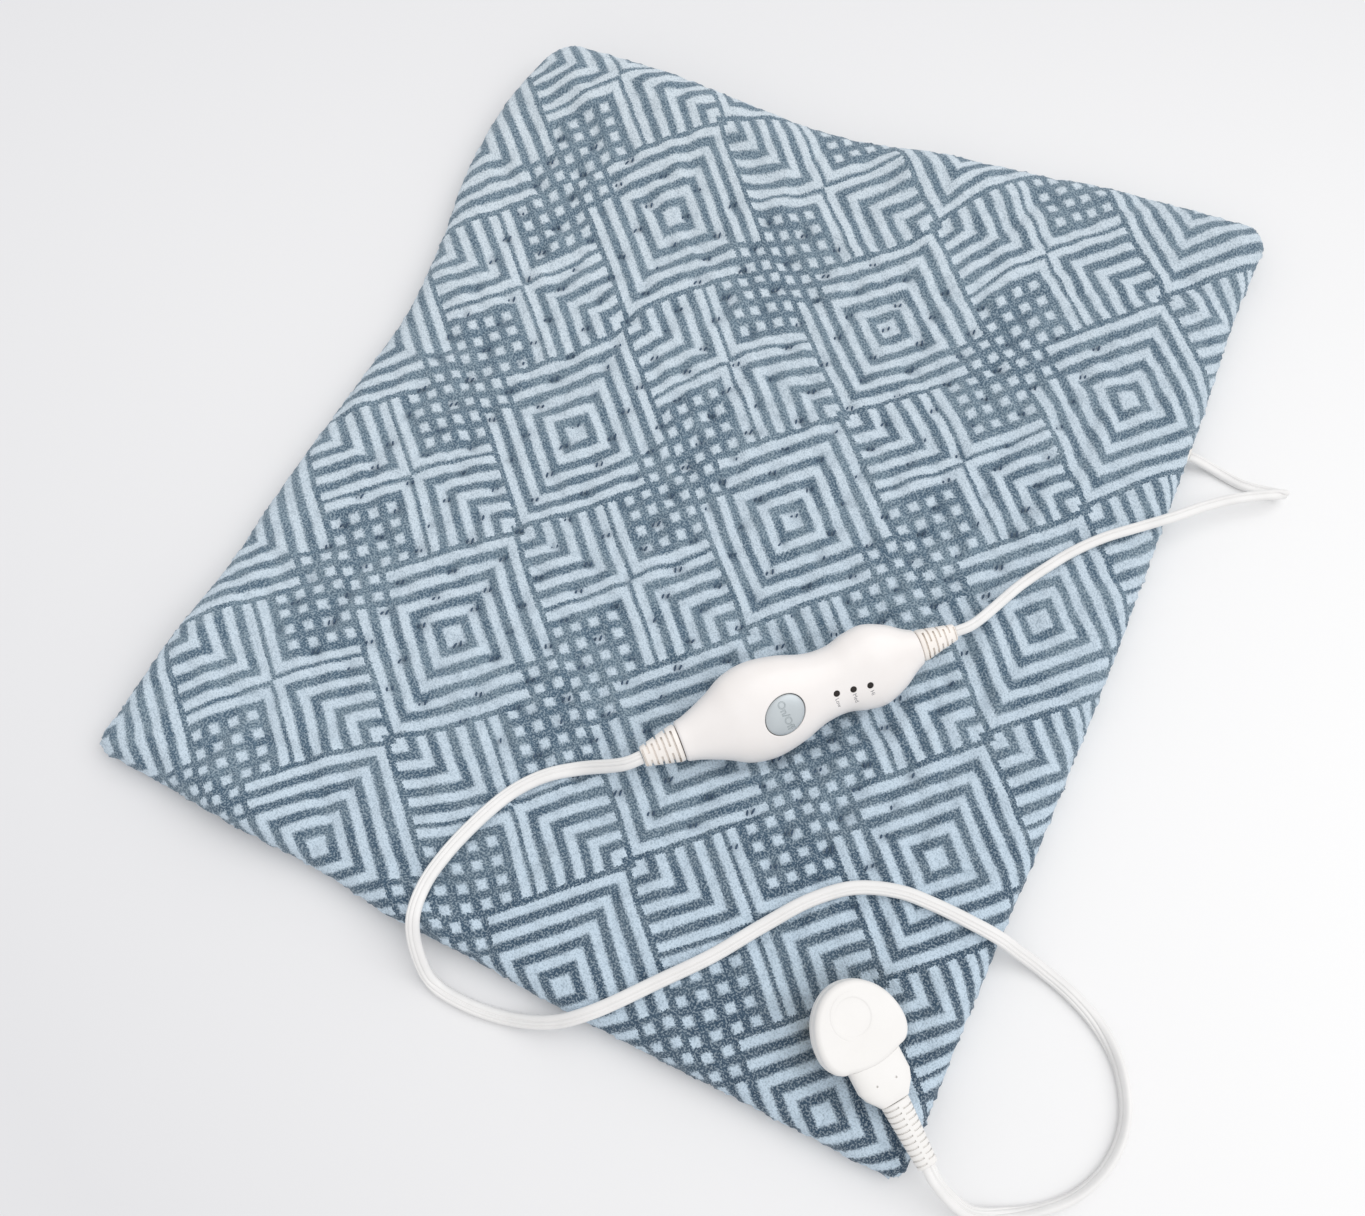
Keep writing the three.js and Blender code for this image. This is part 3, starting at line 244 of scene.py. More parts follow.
def tube_faces(rings: int, sides: int, closed_ends: bool = True) -> list[list[int]]:
    """Gives the faces of a skin over rings that hold the same number of points.

    Args:
        rings: How many rings there are.
        sides: How many points each ring has, anticlockwise seen from the last ring's end.
        closed_ends: Whether a flat face closes each end.

    Returns:
        Point numbers of each face.
    """
    faces = []
    for ring in range(rings - 1):
        for side in range(sides):
            a = ring * sides + side
            b = ring * sides + (side + 1) % sides
            faces.append([a, b, b + sides, a + sides])
    if closed_ends:
        faces.append(list(range(sides))[::-1])
        faces.append(list(range((rings - 1) * sides, rings * sides)))
    return faces


def skin(name: str, rings: Sequence[Array], crease: float = 180) -> bpy.types.Object:
    """Makes a closed object from rings of points in millimetres."""
    return mesh_piece(name, np.vstack(rings), tube_faces(len(rings), len(rings[0])), crease)


def boolean(
    piece: bpy.types.Object, tools: Sequence[bpy.types.Object], operation: str = "DIFFERENCE"
) -> None:
    """Cuts tools out of a piece, or joins them to it, and removes the tools.

    Args:
        piece: Object to change.
        tools: Closed objects.
        operation: Name of the Boolean modifier's operation.
    """
    for tool in tools:
        step = piece.modifiers.new("shape", "BOOLEAN")
        step.operation = operation
        step.solver = "EXACT"
        step.object = tool
    settle(piece)
    for tool in tools:
        bpy.data.objects.remove(tool)


def settle(piece: bpy.types.Object) -> None:
    """Applies every modifier of a piece to its mesh."""
    graph = bpy.context.evaluated_depsgraph_get()
    mesh = bpy.data.meshes.new_from_object(piece.evaluated_get(graph))
    piece.modifiers.clear()
    piece.data = mesh


def smooth(piece: bpy.types.Object, crease: float) -> None:
    """Shades a piece smooth, with a hard edge where faces meet at a larger angle than the crease."""
    piece.data.shade_smooth()
    piece.data.set_sharp_from_angle(angle=math.radians(crease))


def level(plan: Array, height: float) -> Array:
    """Gives the points of a flat plan at one height."""
    return np.column_stack([plan, np.full(len(plan), height)])


def circle(middle: Sequence[float], radius: float, sides: int) -> Array:
    """Gives a circle's plan, one point to a row."""
    angle = np.arange(sides) * math.tau / sides
    return np.array(middle, float) + np.stack([np.cos(angle), np.sin(angle)], axis=1) * radius


def box_mesh(name: str, low: Sequence[float], high: Sequence[float]) -> bpy.types.Object:
    """Makes a box between two corners, as a tool for cutting."""
    ring = [(0, 0), (1, 0), (1, 1), (0, 1)]
    corners = [[(low, high)[i][0], (low, high)[j][1], (low, high)[k][2]] for k in (0, 1) for i, j in ring]
    return mesh_piece(name, np.array(corners, float), tube_faces(2, 4))


def rounded_section(
    x: float, half_width: float, above: float, below: float, sides: int, power: float
) -> Array:
    """Gives a rounded section across the X axis.

    Args:
        x: Place along the axis.
        half_width: Half of its width.
        above: Height above the axis.
        below: Depth below the axis.
        sides: How many points it has.
        power: One for an ellipse, smaller for a squarer section.

    Returns:
        One point to a row.
    """
    angle = np.arange(sides) * math.tau / sides
    aside = np.sign(np.cos(angle)) * np.abs(np.cos(angle)) ** power
    rise = np.sign(np.sin(angle)) * np.abs(np.sin(angle)) ** power
    height = np.where(rise > 0, above, below) * rise
    return np.stack([np.full(sides, float(x)), half_width * aside, height], axis=1)


# Nodes of materials


class Field:
    """A number that varies over a surface, worked out by Math nodes."""

    def __init__(self, graph: Graph, socket: bpy.types.NodeSocket) -> None:
        """Keeps the graph and the socket that gives the number."""
        self.graph = graph
        self.socket = socket

    def _with(self, operation: str, *others: Field | float) -> Field:
        """Joins this number and others by one Math node."""
        return self.graph.math(operation, self, *others)

    def __add__(self, other: Field | float) -> Field:
        """Adds a number."""
        return self._with("ADD", other)

    def __sub__(self, other: Field | float) -> Field:
        """Takes a number away."""
        return self._with("SUBTRACT", other)

    def __mul__(self, other: Field | float) -> Field:
        """Multiplies by a number."""
        return self._with("MULTIPLY", other)

    def __truediv__(self, other: float) -> Field:
        """Divides by a plain number."""
        return self._with("DIVIDE", other)

    def __gt__(self, other: Field | float) -> Field:
        """Gives one where this number is larger, and nought elsewhere."""
        return self._with("GREATER_THAN", other)

    def __lt__(self, other: Field | float) -> Field:
        """Gives one where this number is smaller, and nought elsewhere."""
        return self._with("LESS_THAN", other)

    def __abs__(self) -> Field:
        """Drops the sign."""
        return self._with("ABSOLUTE")

    def whole(self) -> Field:
        """Rounds to the nearest whole number."""
        return self._with("ROUND")

    def least(self, other: Field) -> Field:
        """Gives the smaller of two numbers."""
        return self._with("MINIMUM", other)

    def most(self, other: Field) -> Field:
        """Gives the larger of two numbers."""
        return self._with("MAXIMUM", other)

    def held(self) -> Field:
        """Keeps the number between nought and one."""
        return self.least(self.graph.constant(1.0)).most(self.graph.constant(0.0))

    def choose(self, here: Field, elsewhere: Field) -> Field:
        """Gives one number where this mask is one, and the other where it is nought."""
        return elsewhere + self * (here - elsewhere)


class Graph:
    """The nodes of one material, with short ways to add and join them."""

    def __init__(self, name: str) -> None:
        """Makes a material with one Principled shader."""
        self.material = bpy.data.materials.new(name)
        self.material.use_nodes = True
        self.tree = self.material.node_tree
        self.shader = self.tree.nodes["Principled BSDF"]

    def node(self, kind: str, **settings: object) -> bpy.types.Node:
        """Adds a node and sets its properties."""
        node = self.tree.nodes.new(kind)
        for key, value in settings.items():
            setattr(node, key, value)
        return node

    def link(self, source: bpy.types.NodeSocket, target: bpy.types.NodeSocket) -> None:
        """Joins two sockets."""
        self.tree.links.new(source, target)

    def put(self, value: Field | float, target: bpy.types.NodeSocket) -> None:
        """Gives a socket a varying number or a plain one."""
        if isinstance(value, Field):
            self.link(value.socket, target)
        else:
            target.default_value = value

    def math(self, operation: str, *values: Field | float) -> Field:
        """Adds a Math node over the values given."""
        node = self.node("ShaderNodeMath", operation=operation)
        for value, target in zip(values, node.inputs):
            self.put(value, target)
        return Field(self, node.outputs[0])

    def constant(self, value: float) -> Field:
        """Gives a plain number as a field."""
        node = self.node("ShaderNodeValue")
        node.outputs[0].default_value = value
        return Field(self, node.outputs[0])

    def split(self, vector: bpy.types.NodeSocket) -> list[Field]:
        """Gives the three parts of a vector."""
        node = self.node("ShaderNodeSeparateXYZ")
        self.link(vector, node.inputs[0])
        return [Field(self, output) for output in node.outputs]

    def noise(
        self, vector: bpy.types.NodeSocket, scale: float, detail: float = 2.0, flat: bool = False
    ) -> bpy.types.Node:
        """Adds a Noise texture.

        Args:
            vector: Where it is read.
            scale: How many lumps there are to a unit of the vector.
            detail: How many finer layers it has.
            flat: Whether it ignores the vector's third part.

        Returns:
            The texture's node.
        """
        node = self.node("ShaderNodeTexNoise", noise_dimensions="2D" if flat else "3D")
        node.inputs["Scale"].default_value = scale
        node.inputs["Detail"].default_value = detail
        self.link(vector, node.inputs["Vector"])
        return node

    def grey_noise(
        self, vector: bpy.types.NodeSocket, scale: float, detail: float = 2.0, flat: bool = False
    ) -> Field:
        """Adds a Noise texture and gives its value, around a half."""
        return Field(self, self.noise(vector, scale, detail, flat).outputs[0])

    def blend(self, factor: Field, first: object, second: object) -> bpy.types.NodeSocket:
        """Mixes two colours.

        Args:
            factor: Nought for the first colour and one for the second.
            first: A colour, or a socket that gives one.
            second: The same.

        Returns:
            The socket of the mixed colour.
        """
        node = self.node("ShaderNodeMix", data_type="RGBA")
        self.put(factor, node.inputs[0])
        for value, target in ((first, node.inputs[6]), (second, node.inputs[7])):
            if isinstance(value, bpy.types.NodeSocket):
                self.link(value, target)
            else:
                target.default_value = value
        return node.outputs[2]

    def bump(self, height: Field, depth: float, strength: float = 1.0) -> None:
        """Roughens the shader's surface by a height.

        Args:
            height: Height as a share of the depth.
            depth: Depth in metres.
            strength: How far it counts.
        """
        node = self.node("ShaderNodeBump")
        node.inputs["Distance"].default_value = depth
        node.inputs["Strength"].default_value = strength
        self.put(height, node.inputs["Height"])
        self.link(node.outputs[0], self.shader.inputs["Normal"])

    def object_place(self) -> bpy.types.NodeSocket:
        """Gives the place on the object, in metres."""
        return self.node("ShaderNodeTexCoord").outputs["Object"]

    def constants(self, **values: object) -> None:
        """Sets plain values on the shader's own sockets, by name with underscores for spaces."""
        for key, value in values.items():
            self.shader.inputs[key.replace("_", " ")].default_value = value


class Sheen(Enum):
    """How a hard finish takes the light."""

    MATT = 0.0
    SATIN = 0.12


@dataclass(frozen=True)
class Finish:
    """What every finish has: a material that is made once, under the finish's name."""

    name: str

    def paint(self, graph: Graph) -> None:
        """Adds the finish's nodes to a new material."""
        raise NotImplementedError

    def material(self) -> bpy.types.Material:
        """Makes the finish's material, or gives the one made before.

        Returns:
            The material.
        """
        known = bpy.data.materials.get(self.name)
        if known:
            return known
        graph = Graph(self.name)
        self.paint(graph)
        return graph.material

    def dress(self, *pieces: bpy.types.Object) -> None:
        """Gives the finish to pieces, in place of what they had."""
        for piece in pieces:
            piece.data.materials.clear()
            piece.data.materials.append(self.material())


@dataclass(frozen=True)
class HardFinish(Finish):
    """A moulded, pressed or plated finish: mottled colour, uneven polish and a fine grain."""

    colour: str
    shade: str
    roughness: float
    metallic: float = 0.0
    mottle_scale: float = 60.0
    grain_scale: float = 2600.0
    grain_depth: float = 0.00002
    polish: float = 0.08
    sheen: Sheen = Sheen.MATT
    coat_roughness: float = 0.25

    def paint(self, graph: Graph) -> None:
        """Adds the mottle, the polish and the grain."""
        here = graph.object_place()
        mottle = graph.grey_noise(here, self.mottle_scale, 4.0)
        grain = graph.grey_noise(here, self.grain_scale, 1.0)
        graph.link(
            graph.blend(((mottle - 0.3) * 2.5).held(), srgb(self.shade), srgb(self.colour)),
            graph.shader.inputs["Base Color"],
        )
        rough = (mottle - 0.5) * self.polish + (grain - 0.5) * self.polish + self.roughness
        graph.put(rough.held(), graph.shader.inputs["Roughness"])
        graph.bump(grain, self.grain_depth)
        graph.constants(
            Metallic=self.metallic, Coat_Weight=self.sheen.value, Coat_Roughness=self.coat_roughness
        )


@dataclass(frozen=True)
class PlushPrint(Finish):
    """Short-pile plush with a two-tone print of squares, chevrons and checks in diagonal cells.

    The print is worked out from the map of the flat cloth, in tenths of a metre.
    """

    name: str = "printed_plush"
    light: str = "C9DAE8"
    # Painted light: a paler copy of the light print, laid where the painted wash of light falls.
    light_painted_lit: str = "D7E2EA"
    dark_grey: str = "768A98"
    dark_blue: str = "4C6579"
    navy: str = "33475A"
    speck: str = "B9C6CF"
    bloom: str = "DCE8F2"
    repeat: float = 92.7
    start_x: float = 2.2
    phase_x: float = 0.66
    phase_y: float = 1.05
    cell: float = 65.55
    stripe: float = 3.42
    crispness: float = 1.05
    outer_stripes: float = 9.0
    corner_stripes: float = 5.3
    cross_check_from: float = 2.4
    bar_stripes: float = 1.6
    fibre_scale: float = 150.0
    fibre_warp: float = 1.5
    stretch_scale: float = 4.5
    stretch_warp: float = 1.2
    pile_scale: float = 142.0
    tuft_scale: float = 38.0
    patch_scale: float = 3.1
    blotch_scale: float = 11.0
    relief_depth: float = 0.0007
    relief_strength: float = 0.8

    def striped(self, graph: Graph, steps: Field) -> Field:
        """Gives light stripes on every second step of a count, with soft edges."""
        return (graph.math("SINE", steps * math.pi) * self.crispness + 0.5).held()

    def square_cell(self, graph: Graph, a: Field, b: Field, corner: Field) -> Field:
        """Draws nested squares, with checks in two opposite corners.

        Args:
            graph: Nodes to draw with.
            a: Stripes from the cell's middle along its first side, without sign.
            b: The same along its second side.
            corner: One in the two corners that have checks.

        Returns:
            One where the cloth is light.
        """
        far = a.most(b)
        checks = self.striped(graph, a).least(self.striped(graph, b))
        in_corner = corner * (a.least(b) > self.corner_stripes)
        drawn = in_corner.choose(checks, self.striped(graph, far))
        return drawn * (far < self.outer_stripes)

    def cross_cell(self, graph: Graph, a: Field, b: Field, corner: Field) -> Field:
        """Draws chevrons in two quarters, and bars with checks behind them in the other two.

        Args:
            graph: Nodes to draw with.
            a: Stripes from the cell's middle along its first side, without sign.
            b: The same along its second side.
            corner: One in the two quarters that have chevrons.

        Returns:
            One where the cloth is light.
        """
        near = a.least(b)
        far = a.most(b)
        chevrons = self.striped(graph, near) * (near < self.outer_stripes)
        checks = self.striped(graph, a - 0.5).least(self.striped(graph, b - 0.5))
        checks = checks * (near > self.cross_check_from) * (far < self.outer_stripes + 0.5)
        bars = (near < self.bar_stripes).choose(self.striped(graph, near - 0.5), checks)
        return corner.choose(chevrons, bars)

    def drawn(self, graph: Graph, x: Field, y: Field) -> Field:
        """Draws the whole print.

        Args:
            graph: Nodes to draw with.
            x: Place across the flat cloth in millimetres.
            y: Place along it.

        Returns:
            One where the cloth is light.
        """
        u = (x - self.start_x) / self.repeat + self.phase_x
        v = y * (-1 / self.repeat) + self.phase_y
        p = u + v
        q = v - u
        column = p.whole()
        row = q.whole()
        a = (p - column) * (self.cell / self.stripe)
        b = (q - row) * (self.cell / self.stripe)
        corner = (a * b) < 0.0
        odd = abs(graph.math("MODULO", column + row, 2.0)) > 0.5
        squares = self.square_cell(graph, abs(a), abs(b), corner)
        crosses = self.cross_cell(graph, abs(a), abs(b), corner)
        return odd.choose(crosses, squares)

    def paint(self, graph: Graph) -> None:
        """Adds print, pile, brushed patches, painted shade in the stitches' dimples, painted light towards
        the far left, painted shade towards the near edge, and a soft sheen.
        """
        cloth = graph.node("ShaderNodeUVMap", uv_map="cloth").outputs[0]
        x, y, _ = graph.split(cloth)
        fibre = graph.split(graph.noise(cloth, self.fibre_scale, 1.0, True).outputs[1])
        stretch = graph.split(graph.noise(cloth, self.stretch_scale, 1.0, True).outputs[1])
        light = self.drawn(
            graph,
            *[
                flat * 100.0 + (fine - 0.5) * self.fibre_warp + (wide - 0.5) * self.stretch_warp
                for flat, fine, wide in zip((x, y), fibre, stretch)
            ],
        )
        pile = graph.grey_noise(cloth, self.pile_scale, 1.2, True)
        tufts = graph.grey_noise(cloth, self.tuft_scale, 2.0, True)
        patches = graph.grey_noise(cloth, self.patch_scale, 3.0, True)
        blotches = graph.grey_noise(cloth, self.blotch_scale, 2.0, True)
        # Painted shade: a mask that is one at each stitch and fades over a short reach.
        stitch_shade = Field(graph, graph.node("ShaderNodeAttribute", attribute_name="stitch_shade").outputs["Fac"])
        # Painted light: a wash that is one at the far left and fades to nought at the near right.
        painted_light_wash = (y * 0.25 - x * 0.18 + 0.5).held()
        bluer = ((patches - 0.47) * 5.0 + (blotches - 0.5) * 3.6 + 0.35).held()
        dark = graph.blend(bluer, srgb(self.dark_grey), srgb(self.dark_blue))
        # Painted light: the wash greys the dark print towards the far left.
        dark = graph.blend(painted_light_wash * 0.7, dark, srgb(self.dark_grey))
        # Painted shade: the dark print turns navy towards the near edge and the right.
        painted_shade_near = (x * 0.3 - y * 0.5 - 0.42).held()
        dark = graph.blend(painted_shade_near, dark, srgb(self.navy))
        dark = graph.blend(((pile - 0.5) * 7.0).held() * 0.46, dark, srgb(self.speck))
        dark = graph.blend(((pile * -1.0 + 0.5) * 7.0).held() * 0.5, dark, srgb(self.navy))
        # Painted light: the light print pales under the same wash.
        pale = graph.blend(painted_light_wash, srgb(self.light), srgb(self.light_painted_lit))
        pale = graph.blend(((pile * -1.0 + 0.5) * 6.0).held() * 0.36, pale, srgb(self.dark_grey))
        colour = graph.blend(light, dark, pale)
        brushed = ((tufts - 0.5) * 0.5 + (patches - 0.5) * 0.3 + 1.0).held()
        shade = graph.blend(brushed, srgb(self.dark_blue), colour)
        # Painted shade: navy in the dimples round each stitch, broken up by the pile.
        dimple_shading = (stitch_shade * 1.1 + (pile - 0.5) * 2.2 - 0.35).held() * 0.5
        graph.link(graph.blend(dimple_shading, shade, srgb(self.navy)), graph.shader.inputs["Base Color"])
        graph.put(((pile - 0.5) * 0.2 + 0.93).held(), graph.shader.inputs["Roughness"])
        graph.bump(pile * 0.7 + tufts * 0.5, self.relief_depth, self.relief_strength)
        graph.constants(
            Sheen_Weight=0.3, Sheen_Roughness=0.55, Sheen_Tint=srgb(self.bloom), Specular_IOR_Level=0.15
        )


@dataclass(frozen=True)
class FeltFinish(Finish):
    """Matted or woven inner cloth: crossed threads in two colours."""

    colour: str
    shade: str
    threads: float = 700.0

    def paint(self, graph: Graph) -> None:
        """Adds the crossed threads and the lumps."""
        here = graph.object_place()
        x, y, _ = graph.split(here)
        crossed = [graph.math("SINE", part * self.threads * math.tau) for part in (x, y)]
        weave = crossed[0] * crossed[1]
        lumps = graph.grey_noise(here, 900.0, 3.0)
        height = weave * 0.25 + lumps
        graph.link(
            graph.blend((height * 0.8).held(), srgb(self.shade), srgb(self.colour)),
            graph.shader.inputs["Base Color"],
        )
        graph.bump(height, 0.0002)
        graph.constants(Roughness=0.95, Sheen_Weight=0.2, Sheen_Roughness=0.6)


@dataclass(frozen=True)
class Finishes:
    """Every finish of the object."""

    shell: HardFinish = HardFinish("shell_plastic", "F6F2F0", "F2EDEA", 0.34, sheen=Sheen.SATIN, polish=0.05)
    relief: HardFinish = HardFinish("relief_plastic", "FAF5F0", "F5EEE7", 0.46, grain_depth=0.00003)
    plug: HardFinish = HardFinish("plug_plastic", "F1EFED", "ECEAE7", 0.42, grain_depth=0.00003)
    lead: HardFinish = HardFinish("lead_skin", "F0EFEE", "E9E8E7", 0.4, mottle_scale=90.0, sheen=Sheen.SATIN)
    button: HardFinish = HardFinish("button_paint", "CDD4D7", "C1C8CC", 0.46, 0.45)
    # Grey of the painted shade along the raised letters' edges on the button, and the switch plunger's own
    # grey.
    letters: HardFinish = HardFinish("button_letters", "96A0A4", "8A9498", 0.5)
    label: HardFinish = HardFinish("label_ink", "949397", "87868A", 0.6)
    lens: HardFinish = HardFinish("lens_smoke", "2B2521", "1D1917", 0.8)
    board: HardFinish = HardFinish("board_green", "35724C", "265A3A", 0.5, mottle_scale=300.0)
    black: HardFinish = HardFinish("black_plastic", "2E3033", "222426", 0.5)
    steel: HardFinish = HardFinish("plated_steel", "A9ABAE", "8E9093", 0.28, 1.0, grain_depth=0.00001)
    copper: HardFinish = HardFinish("copper_strip", "C07F50", "A2653B", 0.35, 1.0)
    brass: HardFinish = HardFinish("bright_brass", "D2B062", "B8924A", 0.24, 1.0, grain_depth=0.00001)
    core: HardFinish = HardFinish("core_plastic", "3A3B3E", "2A2B2D", 0.5)
    thread: HardFinish = HardFinish("stitch_thread", "4A5F76", "374A5F", 0.9, mottle_scale=900.0)
    terminal: HardFinish = HardFinish("terminal_plastic", "3E8F5E", "2F7449", 0.45, mottle_scale=300.0)
    core_wire: HardFinish = HardFinish("core_wire_vinyl", "34363A", "232528", 0.4, mottle_scale=400.0)
    felt: FeltFinish = FeltFinish("matted_felt", "DFDBD2", "C6C1B6")
    sleeve: FeltFinish = FeltFinish("wire_braid", "CFB98F", "AD9465", 1300.0)


# Placement


@dataclass(frozen=True)
class Placement:
    """Where a sub-assembly lies: its own origin and its turns, in millimetres and degrees."""

    origin: tuple[float, float, float]
    yaw: float
    pitch: float
    roll: float

    @property
    def turn(self) -> Array:
        """Gives the rotation as a three by three array."""
        angles = [math.radians(angle) for angle in (self.roll, self.pitch, self.yaw)]
        return np.array(Euler(angles, "XYZ").to_matrix())

    def out(self, points: Array) -> Array:
        """Takes points from the sub-assembly's frame to the pad's."""
        return np.asarray(points, float) @ self.turn.T + np.array(self.origin)

    def move(self, piece: bpy.types.Object) -> bpy.types.Object:
        """Takes a piece's mesh from the sub-assembly's frame to the pad's."""
        matrix = Matrix(self.turn.tolist()).to_4x4()
        matrix.translation = Vector(self.origin) * MM
        piece.data.transform(matrix)
        return piece

    @staticmethod
    def around(
        nodes: Sequence[str], local: Sequence[float], yaw: float, pitch: float, roll: float
    ) -> Placement:
        """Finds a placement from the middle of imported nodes.

        Args:
            nodes: Nodes whose boxes have a known middle in the sub-assembly's frame.
            local: That middle.
            yaw: Turn about the upright axis.
            pitch: Turn about the second axis.
            roll: Turn about the sub-assembly's own long axis.

        Returns:
            The placement.
        """
        corners = np.array([np.array(corner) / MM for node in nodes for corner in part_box(node)])
        level = Placement((0.0, 0.0, 0.0), yaw, pitch, roll)
        origin = corners.mean(axis=0) - level.out(np.array([local]))[0]
        return Placement(tuple(float(v) for v in origin), yaw, pitch, roll)


# Camera, floor and light


@dataclass(frozen=True)
class Viewpoint:
    """The camera of the photograph: its place, its axes and its lens."""

    place: tuple[float, float, float] = (94.176, -192.599, 524.741)
    right: tuple[float, float, float] = (0.904375575, 0.426024820, -0.024651002)
    down: tuple[float, float, float] = (0.397677405, -0.862334380, -0.313420004)
    forward: tuple[float, float, float] = (-0.154782107, 0.273646250, -0.949294596)
    focal_pixels: float = 1500.0
    frame_pixels: float = 1365.0
    sensor: float = 36.0

    def build(self) -> bpy.types.Object:
        """Makes the camera and hands it to the scene.

        Returns:
            The camera.
        """
        data = bpy.data.cameras.new("camera")
        data.sensor_fit = "HORIZONTAL"
        data.sensor_width = self.sensor
        data.lens = self.focal_pixels / self.frame_pixels * self.sensor
        data.clip_start = 0.01
        camera = bpy.data.objects.new("camera", data)
        axes = [Vector(self.right), -Vector(self.down), -Vector(self.forward)]
        matrix = Matrix(axes).transposed().to_4x4()
        matrix.translation = Vector(self.place) * MM
        camera.matrix_world = matrix
        bpy.context.scene.collection.objects.link(camera)
        bpy.context.scene.camera = camera
        return camera


@dataclass(frozen=True)
class Studio:
    """A pale floor with painted shade, and soft light."""

    floor_size: float = 6000.0
    floor_cells: int = 12
    floor_shaded: str = "E1E1E3"
    floor_lit: str = "F9F9F9"
    sun_strength: float = 1.15
    sun_spread: float = 60.0
    sun_from: tuple[float, float, float] = (0.5, 0.32, 1.0)
    world_strength: float = 0.75
    world_colour: str = "FDFDFE"
    lamp_colour: tuple[float, float, float] = (1.0, 0.995, 0.985)

    def build(self) -> None:
        """Makes the floor, the lamp and the world."""
        half = self.floor_size / 2
        steps = np.linspace(-half, half, self.floor_cells + 1)
        x, y = np.meshgrid(steps, steps, indexing="ij")
        rows = self.floor_cells + 1
        faces = [
            [i * rows + j, (i + 1) * rows + j, (i + 1) * rows + j + 1, i * rows + j + 1]
            for i in range(self.floor_cells)
            for j in range(self.floor_cells)
        ]
        floor = mesh_piece("floor", np.stack([x.ravel(), y.ravel(), np.zeros(x.size)], axis=1), faces)
        floor.data.materials.append(self.floor_material())
        lamp = bpy.data.lights.new("window_light", "SUN")
        lamp.energy = self.sun_strength
        lamp.angle = math.radians(self.sun_spread)
        lamp.color = self.lamp_colour
        light = bpy.data.objects.new("window_light", lamp)
        light.rotation_euler = Vector(self.sun_from).to_track_quat("Z", "Y").to_euler()
        bpy.context.scene.collection.objects.link(light)
        world = bpy.data.worlds.new("room")
        world.use_nodes = True
        sky = world.node_tree.nodes["Background"]
        sky.inputs["Color"].default_value = srgb(self.world_colour)
        sky.inputs["Strength"].default_value = self.world_strength
        bpy.context.scene.world = world
        bpy.context.scene.view_settings.view_transform = "Standard"

    def floor_material(self) -> bpy.types.Material:
        """Makes the floor's material, with painted shade that makes it a little greyer on the left and
        towards both ends.
        """
        graph = Graph("floor_painted_shade")
        x, y, _ = graph.split(graph.object_place())
        # Painted shade: one where the floor is fully lit, less on the left and towards both ends.
        painted_floor_light = (x * 1.43 + y * 0.12 - y * y * 4.8 + 0.61).held()
        graph.link(
            graph.blend(painted_floor_light, srgb(self.floor_shaded), srgb(self.floor_lit)),
            graph.shader.inputs["Base Color"],
        )
        graph.constants(Roughness=0.9, Specular_IOR_Level=0.0)
        return graph.material


# Leads


